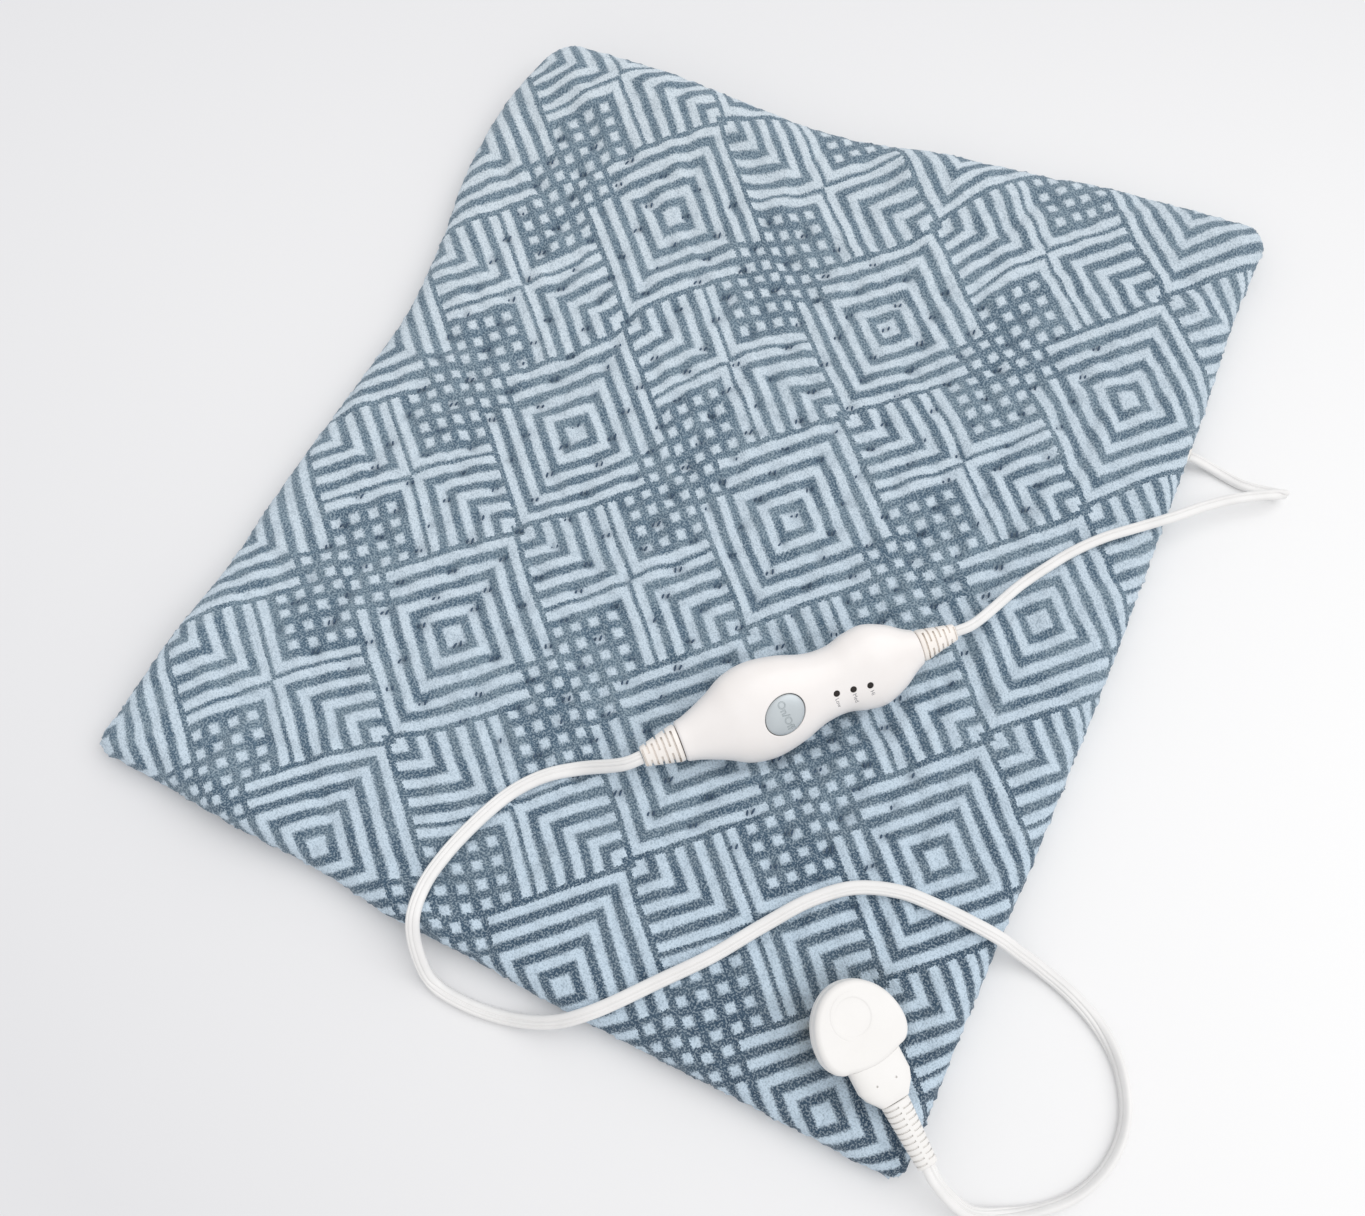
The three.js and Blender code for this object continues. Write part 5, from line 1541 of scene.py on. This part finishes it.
@dataclass
class Controller:
    """The hand controller: two covers, button, three lights, their labels and two strain reliefs."""

    placement: Placement
    finishes: Finishes
    length: float = 89.5
    width: float = 35.6
    crown: float = 10.4
    belly: float = 8.6
    wall: float = 1.8
    rear: float = 0.486 * 89.5
    power: float = 0.86
    gap: float = 0.3
    end_rounding: float = 0.8
    rings: int = 110
    half_sides: int = 56
    stations: Rows = (
        (0, 0.2, 0.58, 0.66),
        (0.05, 0.235, 0.62, 0.69),
        (0.15, 0.345, 0.8, 0.82),
        (0.23, 0.455, 0.94, 0.95),
        (0.33, 0.5, 1, 1),
        (0.45, 0.452, 0.97, 0.97),
        (0.56, 0.36, 0.87, 0.89),
        (0.65, 0.345, 0.82, 0.86),
        (0.73, 0.4, 0.83, 0.87),
        (0.81, 0.418, 0.82, 0.86),
        (0.9, 0.33, 0.7, 0.76),
        (0.96, 0.225, 0.56, 0.62),
        (1, 0.17, 0.5, 0.56),
    )
    button_offset: float = -1.6
    button_place: float = 0.402
    button_size: tuple[float, float] = (15.2, 12.7)
    button_turn: float = 34.0
    button_edge: float = 9.5
    button_dome: float = 1.3
    button_clearance: float = 0.3
    button_rim: float = 0.35
    button_rings: int = 26
    oval_sides: int = 96
    flange: tuple[float, float, float] = (1.2, 5.2, 6.3)
    letter_height: float = 2.7
    # Grow and rise of the letters' rims, which carry painted shade.
    letter_shade_rims: tuple[float, float] = (0.012, 0.05)
    letter_faces: tuple[float, float] = (-0.022, 0.12)
    letter_turn: float = 5.0
    light_place: float = 0.618
    light_pitch: float = 0.067
    light_offset: float = -1.9
    light_drift: float = -0.9
    light_names: tuple[str, ...] = ("low", "medium", "high")
    light_labels: tuple[str, ...] = ("Low", "Med", "Hi")
    light_hole: float = 2.3
    light_rim: float = 0.16
    light_levels: Rows = ((-1.1, 3.8), (-0.1, 3.8), (-0.1, 3.0), (6.1, 3.0))
    light_tip: Rows = ((0.97, 2.4), (0.97, 0.22), (0.8, 0.13), (0.3, 0.1))
    label_height: float = 1.5
    label_turn: float = 5.0
    label_rise: float = 0.03
    label_offsets: Rows = ((-0.4, -3.4), (-0.1, -3.4), (0.05, -2.9))
    mains_relief: ReliefShape = ReliefShape(13.6, 13.2, 10, 7.2, 5, 1.5, 0.72, 1.86, 2.4)
    pad_relief: ReliefShape = ReliefShape(13.8, 11.2, 8.6, 5.8, 4.2, 1.5, 0.72, 1.86, 2.4)

    @property
    def ahead(self) -> float:
        """Gives where the housing ends, towards the pad lead."""
        return self.length - self.rear

    def along(self, share: float) -> float:
        """Gives a place along the housing from its share of the length."""
        return self.length * share - self.rear

    def sizes_at(self, x: Array) -> tuple[Array, Array, Array]:
        """Gives the housing's half width, crown and belly.

        Args:
            x: Places along the housing.

        Returns:
            Three arrays of sizes.
        """
        table = np.array(self.stations, float)
        where = np.clip((np.asarray(x, float) + self.rear) / self.length, 0, 1)
        half, crown, belly = [station_values(table[:, 0], table[:, k], where) for k in (1, 2, 3)]
        return half * self.width, crown * self.crown, belly * self.belly

    def surface(self, x: Array, y: Array) -> Array:
        """Gives the height of the upper cover's outside."""
        half, crown, _ = self.sizes_at(x)
        share = np.clip(np.abs(y) / half, 0, 1)
        return crown * (1 - share ** (2 / self.power)) ** (self.power / 2)

    def shell_ring(self, x: float, inset: float, sign: int, hollow: bool) -> Array:
        """Gives one section through a cover.

        Args:
            x: Place along the housing.
            inset: How far the section is drawn in at the rounded end.
            sign: One for the upper cover, minus one for the lower.
            hollow: Whether the section has the hollow, or is solid as in the end walls.

        Returns:
            The section's points, first the outside and then the inside.
        """
        half, crown, belly = [float(v[0]) for v in self.sizes_at(np.array([x]))]
        high = crown if sign > 0 else belly
        angle = np.linspace(0, math.pi, self.half_sides + 1)
        aside = np.sign(np.cos(angle)) * np.abs(np.cos(angle)) ** self.power * sign
        rise = np.abs(np.sin(angle)) ** self.power
        outer = np.stack([(half - inset) * aside, np.maximum((high - inset) * rise, self.gap / 2)], axis=1)
        hollow_rise = np.maximum((high - self.wall) * rise, self.gap / 2)
        inner = np.stack([(half - self.wall) * aside, hollow_rise], axis=1)
        if not hollow:
            inner[:, 1] = self.gap / 2
        loop = np.vstack([outer, inner[::-1]])
        return np.stack([np.full(len(loop), x), loop[:, 0], sign * loop[:, 1]], axis=1)

    def shell(self, name: str, sign: int) -> bpy.types.Object:
        """Makes one of the two covers, without openings.

        Args:
            name: Name of the piece.
            sign: One for the upper cover, minus one for the lower.

        Returns:
            The cover in the controller's frame.
        """
        quarter = np.linspace(0, math.pi / 2, 6)
        radius = self.end_rounding
        turn = [(radius * (1 - math.sin(q)), radius * (1 - math.cos(q))) for q in quarter]
        start = -self.rear
        stops = [(start + x, inset, False) for x, inset in turn[::-1]]
        stops += [(start + self.wall, 0.0, False), (start + self.wall, 0.0, True)]
        middle = np.linspace(start + self.wall, self.ahead - self.wall, self.rings)
        stops += [(float(x), 0.0, True) for x in middle[1:-1]]
        stops += [(self.ahead - self.wall, 0.0, True), (self.ahead - self.wall, 0.0, False)]
        stops += [(self.ahead - x, inset, False) for x, inset in turn]
        return skin(name, [self.shell_ring(x, inset, sign, hollow) for x, inset, hollow in stops], 45)

    def oval(self, size: tuple[float, float], reach: float, at: tuple[float, float], turn: float) -> Array:
        """Gives an oval's plan, grown by a reach all round, one point to a row."""
        angle = np.arange(self.oval_sides) * math.tau / self.oval_sides
        x = (size[0] / 2 + reach) * np.cos(angle)
        y = (size[1] / 2 + reach) * np.sin(angle)
        c, s = math.cos(math.radians(turn)), math.sin(math.radians(turn))
        return np.stack([at[0] + x * c - y * s, at[1] + x * s + y * c], axis=1)

    def opening(
        self, size: tuple[float, float], reach: float, at: tuple[float, float], turn: float, rounding: float
    ) -> bpy.types.Object:
        """Makes the tool that cuts an opening with a rounded rim through the upper cover.

        Args:
            size: Length and width of the oval.
            reach: How far the opening is grown all round.
            at: Middle of the opening.
            turn: Turn of the oval in degrees.
            rounding: Radius of the rim.

        Returns:
            The tool.
        """
        loops = [(reach, -4.0 * self.wall)]
        loops += [
            (reach + rounding * (1 - math.cos(q)), rounding * (math.sin(q) - 1))
            for q in np.linspace(0, math.pi / 2 * 0.92, 6)
        ]
        loops.append((loops[-1][0] + rounding, self.wall))
        rings = []
        for grown, down in loops:
            plan = self.oval(size, grown, at, turn)
            height = self.surface(plan[:, 0], plan[:, 1]) + down
            rings.append(np.column_stack([plan, height]))
        return skin("opening", rings)

    @property
    def button_at(self) -> tuple[float, float]:
        """Gives the middle of the button."""
        return (self.along(self.button_place), self.button_offset)

    def light_at(self, i: int) -> tuple[float, float]:
        """Gives the middle of a light's hole."""
        return (self.along(self.light_place + i * self.light_pitch), self.light_offset + i * self.light_drift)

    def top_cover(self) -> bpy.types.Object:
        """Makes the upper cover with the button's opening and three windows.

        Returns:
            The cover.
        """
        piece = self.shell("controller_top", 1)
        hole = (self.light_hole, self.light_hole)
        tools = [
            self.opening(
                self.button_size, self.button_clearance, self.button_at, self.button_turn, self.button_rim
            )
        ]
        for i in range(len(self.light_names)):
            tools.append(self.opening(hole, 0.0, self.light_at(i), 0.0, self.light_rim))
        boolean(piece, tools)
        smooth(piece, 45)
        return piece

    def dome(self, x: Array, y: Array) -> Array:
        """Gives the height of the button's top."""
        c, s = math.cos(math.radians(self.button_turn)), math.sin(math.radians(self.button_turn))
        dx, dy = x - self.button_at[0], y - self.button_at[1]
        u = (dx * c + dy * s) / (self.button_size[0] / 2)
        v = (dy * c - dx * s) / (self.button_size[1] / 2)
        share = np.clip(np.hypot(u, v), 0, 1)
        return self.button_edge + self.button_dome * np.sqrt(np.maximum(1 - share**2.6, 0))

    def button(self) -> bpy.types.Object:
        """Makes the button with its flange and dome.

        Returns:
            The button.
        """
        reach, low, high = self.flange
        at, turn = self.button_at, self.button_turn
        flat = [(low, reach), (high, reach), (high, 0.0), (self.button_edge, 0.0)]
        rings = [level(self.oval(self.button_size, grown, at, turn), z) for z, grown in flat]
        for share in np.sin(np.linspace(math.pi / 2, 0.03, self.button_rings))[1:]:
            plan = self.oval((self.button_size[0] * share, self.button_size[1] * share), 0.0, at, turn)
            rings.append(np.column_stack([plan, self.dome(plan[:, 0], plan[:, 1])]))
        return skin("controller_button", rings, 50)

    def word(self, at: Array, turn: float, points: Array) -> Array:
        """Lays flat letter points on the plan, read across the controller."""
        turn = math.radians(turn)
        across = np.array([math.sin(turn), -math.cos(turn)])
        upward = np.array([math.cos(turn), math.sin(turn)])
        return at + points[:, :1] * across + points[:, 1:2] * upward

    def button_letters(self, name: str, grow: float, rise: float) -> bpy.types.Object:
        """Makes the raised words on the button.

        Args:
            name: Name of the piece.
            grow: How far the letters are thickened, as a share of their size.
            rise: How far they stand out of the dome.

        Returns:
            The letters.
        """

        def place(points: Array) -> Array:
            """Lays the letters on the dome."""
            plan = self.word(np.array(self.button_at), self.letter_turn, points)
            height = self.dome(plan[:, 0], plan[:, 1]) + rise * (2 * points[:, 2] - 1)
            return np.column_stack([plan, height])

        return lettering(name, "On/Off", self.letter_height, place, grow)

    def label(self, i: int) -> bpy.types.Object:
        """Makes the printed word beside a light."""
        at = np.array(self.light_at(i)) + np.array(self.label_offsets[i])

        def place(points: Array) -> Array:
            """Lays the letters on the upper cover."""
            plan = self.word(at, self.label_turn, points)
            height = self.surface(plan[:, 0], plan[:, 1]) + self.label_rise * (2 * points[:, 2] - 1)
            return np.column_stack([plan, height])

        return lettering(f"label_{self.light_names[i]}", self.light_labels[i], self.label_height, place)

    def light(self, i: int) -> bpy.types.Object:
        """Makes a light: its foot, its body and the dark tip that fills its hole.

        Args:
            i: Number of the light, from the lowest level.

        Returns:
            The light in the controller's frame.
        """
        at = self.light_at(i)
        rings = []
        for z, diameter in self.light_levels:
            rings.append(level(self.oval((diameter, diameter), 0.0, at, 0.0), z))
        for share, down in self.light_tip:
            plan = self.oval((self.light_hole * share, self.light_hole * share), 0.0, at, 0.0)
            rings.append(np.column_stack([plan, self.surface(plan[:, 0], plan[:, 1]) - down]))
        return skin(f"light_{self.light_names[i]}", rings, 40)

    def relief(self, name: str, shape: ReliefShape, side: int) -> bpy.types.Object:
        """Makes the strain relief at one end.

        Args:
            name: Name of the piece.
            shape: Its sizes.
            side: One for the pad lead's end, minus one for the mains lead's.

        Returns:
            The relief in the controller's frame.
        """
        piece = shape.crossed(name)
        start = (self.ahead if side > 0 else self.rear) + self.gap
        matrix = Matrix.Rotation(0 if side > 0 else math.pi, 4, "Z") @ Matrix.Translation((start * MM, 0, 0))
        piece.data.transform(matrix)
        return piece

    def exit(self, side: int) -> Array:
        """Gives the middle of a relief's outer end, in the pad's frame."""
        shape, end = (self.pad_relief, self.ahead) if side > 0 else (self.mains_relief, self.rear)
        return self.placement.out(np.array([[side * (end + self.gap + shape.length), 0, 0]]))[0]

    def lead_end(self, side: int, straight: float) -> Array:
        """Gives the two points of the lead's straight stretch at a relief, from the relief outwards."""
        axis = self.placement.turn[:, 0] * side
        return np.array([self.exit(side) + axis * reach for reach in (self.gap, self.gap + straight)])

    def build(self) -> None:
        """Makes and dresses every visible piece of the controller."""
        shell, relief = self.finishes.shell, self.finishes.relief
        top, bottom = self.top_cover(), self.shell("controller_bottom", -1)
        button = self.button()
        # The rims are the letters grown a little and set lower, in darker grey: painted shade along the edges
        # of the raised letters. The faces above them keep the button's colour.
        rims = self.button_letters("letter_shade_rims", *self.letter_shade_rims)
        faces = self.button_letters("letter_faces", *self.letter_faces)
        rear = self.relief("relief_mains", self.mains_relief, -1)
        front = self.relief("relief_pad", self.pad_relief, 1)
        plan = [
            (top, shell, "pad", "white_plastic", ["controller_top_cover"]),
            (bottom, shell, "pad", "white_plastic", ["controller_bottom_cover"]),
            (button, self.finishes.button, "button", "button_plastic", ["power_button"]),
            # Painted shade: the darker grey on the letters' rims.
            (rims, self.finishes.letters, "button", "button_plastic", []),
            (faces, self.finishes.button, "button", "button_plastic", []),
            (rear, relief, "pad", "white_plastic", ["strain_relief_mains"]),
            (front, relief, "pad", "white_plastic", ["strain_relief_pad"]),
        ]
        for i, name in enumerate(self.light_names):
            plan.append((self.label(i), self.finishes.label, "pad", "white_plastic", []))
            plan.append((self.light(i), self.finishes.lens, "pad", "smoked_lens", [f"led_{name}"]))
        for piece, finish, body, slot, nodes in plan:
            finish.dress(piece)
            hand_over(self.placement.move(piece), body, nodes)

    def dress_inside(self, nodes: dict[str, bpy.types.Object]) -> None:
        """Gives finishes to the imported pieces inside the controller."""
        f = self.finishes
        f.board.dress(nodes["circuit_board"])
        f.black.dress(*[nodes[name] for name in ("tact_switch_body", "triac", "capacitor", "control_chip")])
        f.letters.dress(nodes["tact_switch_plunger"])
        f.terminal.dress(nodes["mains_terminal"], nodes["pad_terminal"])
        f.steel.dress(*[nodes[name] for name in ("fuse", "housing_screw_rear", "housing_screw_front")])
        f.core_wire.dress(*[nodes[f"{kind}_wire_{i}"] for kind in ("mains", "pad") for i in (1, 2)])


# Plug


@dataclass
class Plug:
    """The flat-topped mains plug: head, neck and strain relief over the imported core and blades."""

    placement: Placement
    finishes: Finishes
    nose: float = -5.3
    middle: float = 13.0
    back: float = 21.0
    bulge: float = 2.0
    width: float = 31.0
    back_width: float = 19.6
    thickness: float = 8.6
    edge: float = 1.8
    crown: float = 0.35
    core_at: float = 7.5
    core_diameter: float = 19.2
    core_depth: float = 4.4
    crest: tuple[float, float] = (5.8, -0.5)
    disc: float = 5.95
    ring: float = 7.75
    ring_width: float = 0.4
    ring_from: float = 242.0
    relief_depth: float = 0.2
    faint_share: float = 0.5
    groove: Rows = ((-0.25, 0.0), (-0.12, 0.12), (0.12, 0.12), (0.25, 0.0))
    neck: Rows = ((14, 18.8, 7.6), (28.8, 18.8, 7.6), (32, 16.2, 7.6), (34.6, 11.9, 7.2), (35.6, 10.6, 6.4))
    neck_power: float = 0.55
    dots: Rows = ((28.9, 3.2), (28.4, -3.8))
    dot_radius: float = 0.4
    dot_floor: float = 3.2
    dot_sides: int = 20
    core_sides: int = 96
    gap: float = 0.3
    seam: float = 0.05
    sides: int = 160
    shape: ReliefShape = ReliefShape(22.4, 9.6, 7, 7, 5, 1.2, 0.6, 1.95, 1, core=(0.86, 0.83))

    def outline(self, reach: float) -> Array:
        """Gives the head's plan, grown by a reach all round, anticlockwise from its widest place."""
        half = self.width / 2 + reach
        back_half = self.back_width / 2
        quarter = self.sides // 4
        front = np.linspace(math.pi / 2, 3 * math.pi / 2, 2 * quarter + 1)
        nose = np.stack(
            [self.middle + (self.middle - self.nose + reach) * np.cos(front), half * np.sin(front)], axis=1
        )
        turn = np.linspace(0, math.pi / 2, quarter // 2 + 1)[1:-1]
        depth = self.back - self.middle + reach
        lower = np.stack(
            [self.middle + depth * np.sin(turn), -(back_half + (half - back_half) * np.cos(turn))], axis=1
        )
        side = np.linspace(0.5, -0.5, quarter + 1)
        middle = np.stack(
            [self.back + reach + self.bulge * np.cos(side * math.pi), -2 * side * back_half], axis=1
        )
        upper = lower[::-1] * np.array([1, -1])
        return np.vstack([nose, lower, middle, upper])

    def edge_rings(self, reach: float, between: Rows = ()) -> list[Array]:
        """Gives rings of points round the head, from its rounded lower edge to its upper one.

        Args:
            reach: How far the rings are grown all round.
            between: Heights and reaches of the rings between both edges.

        Returns:
            The rings in order.
        """
        half = self.thickness / 2
        edge = [
            (half - self.edge * (1 - math.sin(q)), self.edge * (math.cos(q) - 1))
            for q in np.linspace(0, math.pi / 2, 9)
        ]
        rows = [(-z, grown) for z, grown in edge[::-1]] + [*between, *edge]
        return [level(self.outline(grown + reach), z) for z, grown in rows]

    def head(self) -> bpy.types.Object:
        """Makes the head: rounded edge, faint disc and ring on top, and a pocket for the core below.

        Returns:
            The head.
        """
        half = self.thickness / 2
        middle = np.array(self.crest)
        rings = self.edge_rings(0.0, self.groove)
        rim = self.outline(-self.edge)
        spoke = unit(rim - middle)
        outer = self.ring + self.ring_width / 2

        def top_ring(plan: Array, down: Array | float) -> Array:
            """Lays a ring of plan points on the crowned top."""
            share = np.linalg.norm(plan - middle, axis=1) / np.linalg.norm(rim - middle, axis=1)
            return np.column_stack([plan, half + self.crown * (1 - share**2) - down])

        for share in np.linspace(0, 1, 6)[1:]:
            rings.append(top_ring(rim + (middle + spoke * (outer + 0.15) - rim) * share, 0.0))
        turn = np.arctan2(spoke[:, 1], spoke[:, 0]) - math.radians(self.ring_from)
        faint = self.faint_share * smooth_step(np.cos(turn) * 0.8 + 0.3)
        steps = [
            (outer, 0.03, faint), (self.ring + 0.08, 1.0, faint), (self.ring - 0.08, 1.0, faint),
            (self.ring - self.ring_width / 2, 0.2, faint), (self.ring - self.ring_width, 0.0, faint),
            (self.disc + 0.6, 0.0, 1.0), (self.disc + 0.2, 0.1, 1.0), (self.disc, 0.8, 1.0),
            (self.disc - 0.25, 1.0, 1.0), (4.0, 1.0, 1.0), (1.5, 1.0, 1.0), (0.1, 1.0, 1.0),
        ]
        rings += [
            top_ring(middle + spoke * radius, share * strength * self.relief_depth)
            for radius, share, strength in steps
        ]
        piece = skin("plug_cap", rings, 40)
        plan = circle((self.core_at, 0.0), self.core_diameter / 2 + self.gap, self.core_sides)
        levels = (-half - 1, self.core_depth - half + self.gap)
        boolean(piece, [skin("pocket", [level(plan, z) for z in levels])])
        smooth(piece, 40)
        return piece

    def neck_piece(self) -> bpy.types.Object:
        """Makes the neck between the head and the strain relief, with two small vents on top.

        Returns:
            The neck.
        """
        rings = [
            rounded_section(x, width / 2, height / 2, height / 2, 72, self.neck_power)
            for x, width, height in self.neck
        ]
        piece = skin("plug_shank", rings, 40)
        tools = [skin("head_room", self.edge_rings(self.seam))]
        for dot in self.dots:
            plan = circle(dot, self.dot_radius, self.dot_sides)
            tools.append(skin("vent", [level(plan, z) for z in (self.dot_floor, self.thickness)]))
        boolean(piece, tools)
        smooth(piece, 40)
        return piece

    def relief(self) -> bpy.types.Object:
        """Makes the strain relief behind the neck."""
        piece = self.shape.flanked("relief_plug")
        piece.data.transform(Matrix.Translation(((self.neck[-1][0] + self.gap) * MM, 0, 0)))
        return piece

    def lead_end(self, straight: float) -> Array:
        """Gives the two points of the lead's straight stretch at the relief, from the relief outwards."""
        end = self.neck[-1][0] + self.gap + self.shape.length + self.gap
        return self.placement.out(np.array([[end, 0, 0], [end + straight, 0, 0]]))

    def build(self, nodes: dict[str, bpy.types.Object]) -> list[bpy.types.Object]:
        """Makes and dresses the plug.

        Args:
            nodes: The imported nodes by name.

        Returns:
            Every piece of the plug, packed ones among them.
        """
        plan = [
            (self.head(), "plug_head"),
            (self.neck_piece(), "plug_neck"),
            (self.relief(), "plug_strain_relief"),
        ]
        pieces = []
        for piece, node in plan:
            self.finishes.plug.dress(piece)
            hand_over(self.placement.move(piece), "pad", [node])
            pieces.append(piece)
        blades = [nodes["plug_blade_left"], nodes["plug_blade_right"]]
        self.finishes.brass.dress(*blades)
        self.finishes.core.dress(nodes["plug_core"])
        return [*pieces, nodes["plug_core"], *blades]


def hand_over(piece: bpy.types.Object, body: str, nodes: Sequence[str] = ()) -> None:
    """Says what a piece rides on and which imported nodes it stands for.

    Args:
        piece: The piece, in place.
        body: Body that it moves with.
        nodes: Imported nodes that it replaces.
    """
    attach(piece, body)
    if nodes:
        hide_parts(*nodes)
    LOG.info("%s: %d faces on %s", piece.name, len(piece.data.polygons), body)


@dataclass
class Leads:
    """The mains lead and the pad lead, between the reliefs, the plug and the pad."""

    controller: Controller
    plug: Plug
    finishes: Finishes
    straight: float = 6.0
    entry_straight: float = 1.5
    mains: Lead = Lead(
        "lead_mains", "mains_lead", 4.9, 2.7, (0.1, 1.5), 400,
        (
            (3.5, -113.8, 15.4), (-5.8, -120.8, 15.4), (-13.6, -130.6, 15.4), (-19.6, -143.8, 15.6),
            (-24.4, -159.6, 16), (-26, -172, 16.4), (-24.2, -183, 16.8), (-19.6, -191.5, 11),
            (-11, -199, 3), (2, -200.5, 2), (18, -198.5, 2.6), (33, -193, 9), (44, -184.5, 15),
            (60, -166, 15.6), (72, -151.6, 15.5), (83, -135.8, 15.4), (94.2, -121, 15.4),
            (105.7, -111.2, 15.4), (120.2, -105.9, 15.4), (133, -105, 15.4), (146.5, -105.4, 15.8),
            (156, -105.8, 13.8), (164, -106.4, 8), (174, -107.6, 2.6), (185.7, -110.9, 1.8),
            (196.8, -116.1, 1.8), (205.4, -122.8, 1.8), (211.6, -130.8, 1.8), (215.6, -140, 1.8),
            (216.6, -149.8, 1.8), (214.6, -160, 1.8), (209.4, -169.8, 1.8), (201.5, -177.8, 1.8),
            (191.5, -184.4, 2.4), (180, -189, 6),
        ),
        rolls=((0.0, 0.0), (0.74, 0.0), (0.79, 52.0), (0.9, 52.0), (0.95, 0.0), (1.0, 0.0)),
        raises=((0.0, 0.0), (0.74, 0.0), (0.79, 0.8), (0.9, 0.8), (0.95, 0.0), (1.0, 0.0)),
    )
    pad: Lead = Lead(
        "lead_pad", "pad_lead", 3.9, 2.4, (-0.45,), 170,
        (
            (162, 90.9, 3.8), (166, 91.2, 2), (171.5, 90.5, 1.4), (177.6, 89.8, 1.4), (183.4, 90.3, 1.4),
            (188.4, 91.2, 1.6), (191.9, 91.2, 3), (193.2, 90.4, 5.4), (192, 89, 7.8), (188.6, 86.7, 9),
            (182.8, 83.1, 9.7), (175, 77.4, 11), (166.6, 69.6, 13), (157.6, 60, 15.2), (148.2, 51.4, 15.6),
            (137.9, 42.1, 15.4), (129.2, 31.8, 15.4), (122.9, 22.2, 15.4), (117.3, 12.7, 15.6),
        ),
    )

    def build(self, plug_pieces: Sequence[bpy.types.Object]) -> None:
        """Args:
            plug_pieces: The pieces of the plug at the mains lead's far end. Not used.
        """
        up_controller = self.controller.placement.turn[:, 2]
        up_plug = self.plug.placement.turn[:, 2]
        mains, line = self.mains.build(
            self.controller.lead_end(-1, self.straight),
            self.plug.lead_end(self.straight)[::-1],
            (up_controller, up_plug),
        )
        self.finishes.lead.dress(mains)
        hand_over(mains, "pad", [self.mains.node])
        self.controller.exit(-1) * MM
        self.mains.width * MM
        line * MM
        low, high = [np.array(corner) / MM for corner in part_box("pad_lead_entry")]
        exit_here = np.array([high[0], (low[1] + high[1]) / 2, (low[2] + high[2]) / 2])
        gap = self.controller.gap
        reaches = np.array([[gap, 0, 0], [gap + self.entry_straight, 0, 0]])
        pad, line = self.pad.build(
            exit_here + reaches,
            self.controller.lead_end(1, self.straight)[::-1],
            (np.array([0.0, 0.0, 1.0]), up_controller),
        )
        self.finishes.lead.dress(pad)
        hand_over(pad, "pad", [self.pad.node])
        self.pad.width * MM
        line * MM


def placements() -> tuple[Placement, Placement]:
    """Finds where the controller and the plug lie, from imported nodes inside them.

    Returns:
        The controller's placement and the plug's.
    """
    rear_share, front_share = 0.184, 0.832
    board = ((rear_share + front_share) / 2 * Controller.length - Controller.rear, 0.0, -2.2)
    blades = ("plug_blade_left", "plug_blade_right")
    return (
        Placement.around(["circuit_board"], board, yaw=47.2, pitch=0.0, roll=32.0),
        Placement.around(blades, (7.5, 0.0, -10.55), yaw=-37.0, pitch=12.0, roll=-9.0),
    )


def main() -> None:
    """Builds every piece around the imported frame."""
    logging.basicConfig(level=logging.INFO, format="%(message)s")
    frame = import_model()
    nodes = frame["nodes"]
    Viewpoint().build()
    Studio().build()
    finishes = Finishes()
    LOG.info("camera and light stand, %d packed nodes", len(nodes))
    on_controller, on_plug = placements()
    controller = Controller(on_controller, finishes)
    plug = Plug(on_plug, finishes)
    plug_pieces = plug.build(nodes)
    Leads(controller, plug, finishes).build(plug_pieces)
    controller.build()
    controller.dress_inside(nodes)
    PadCover().dress(finishes, nodes)


if __name__ == "__main__":
    main()
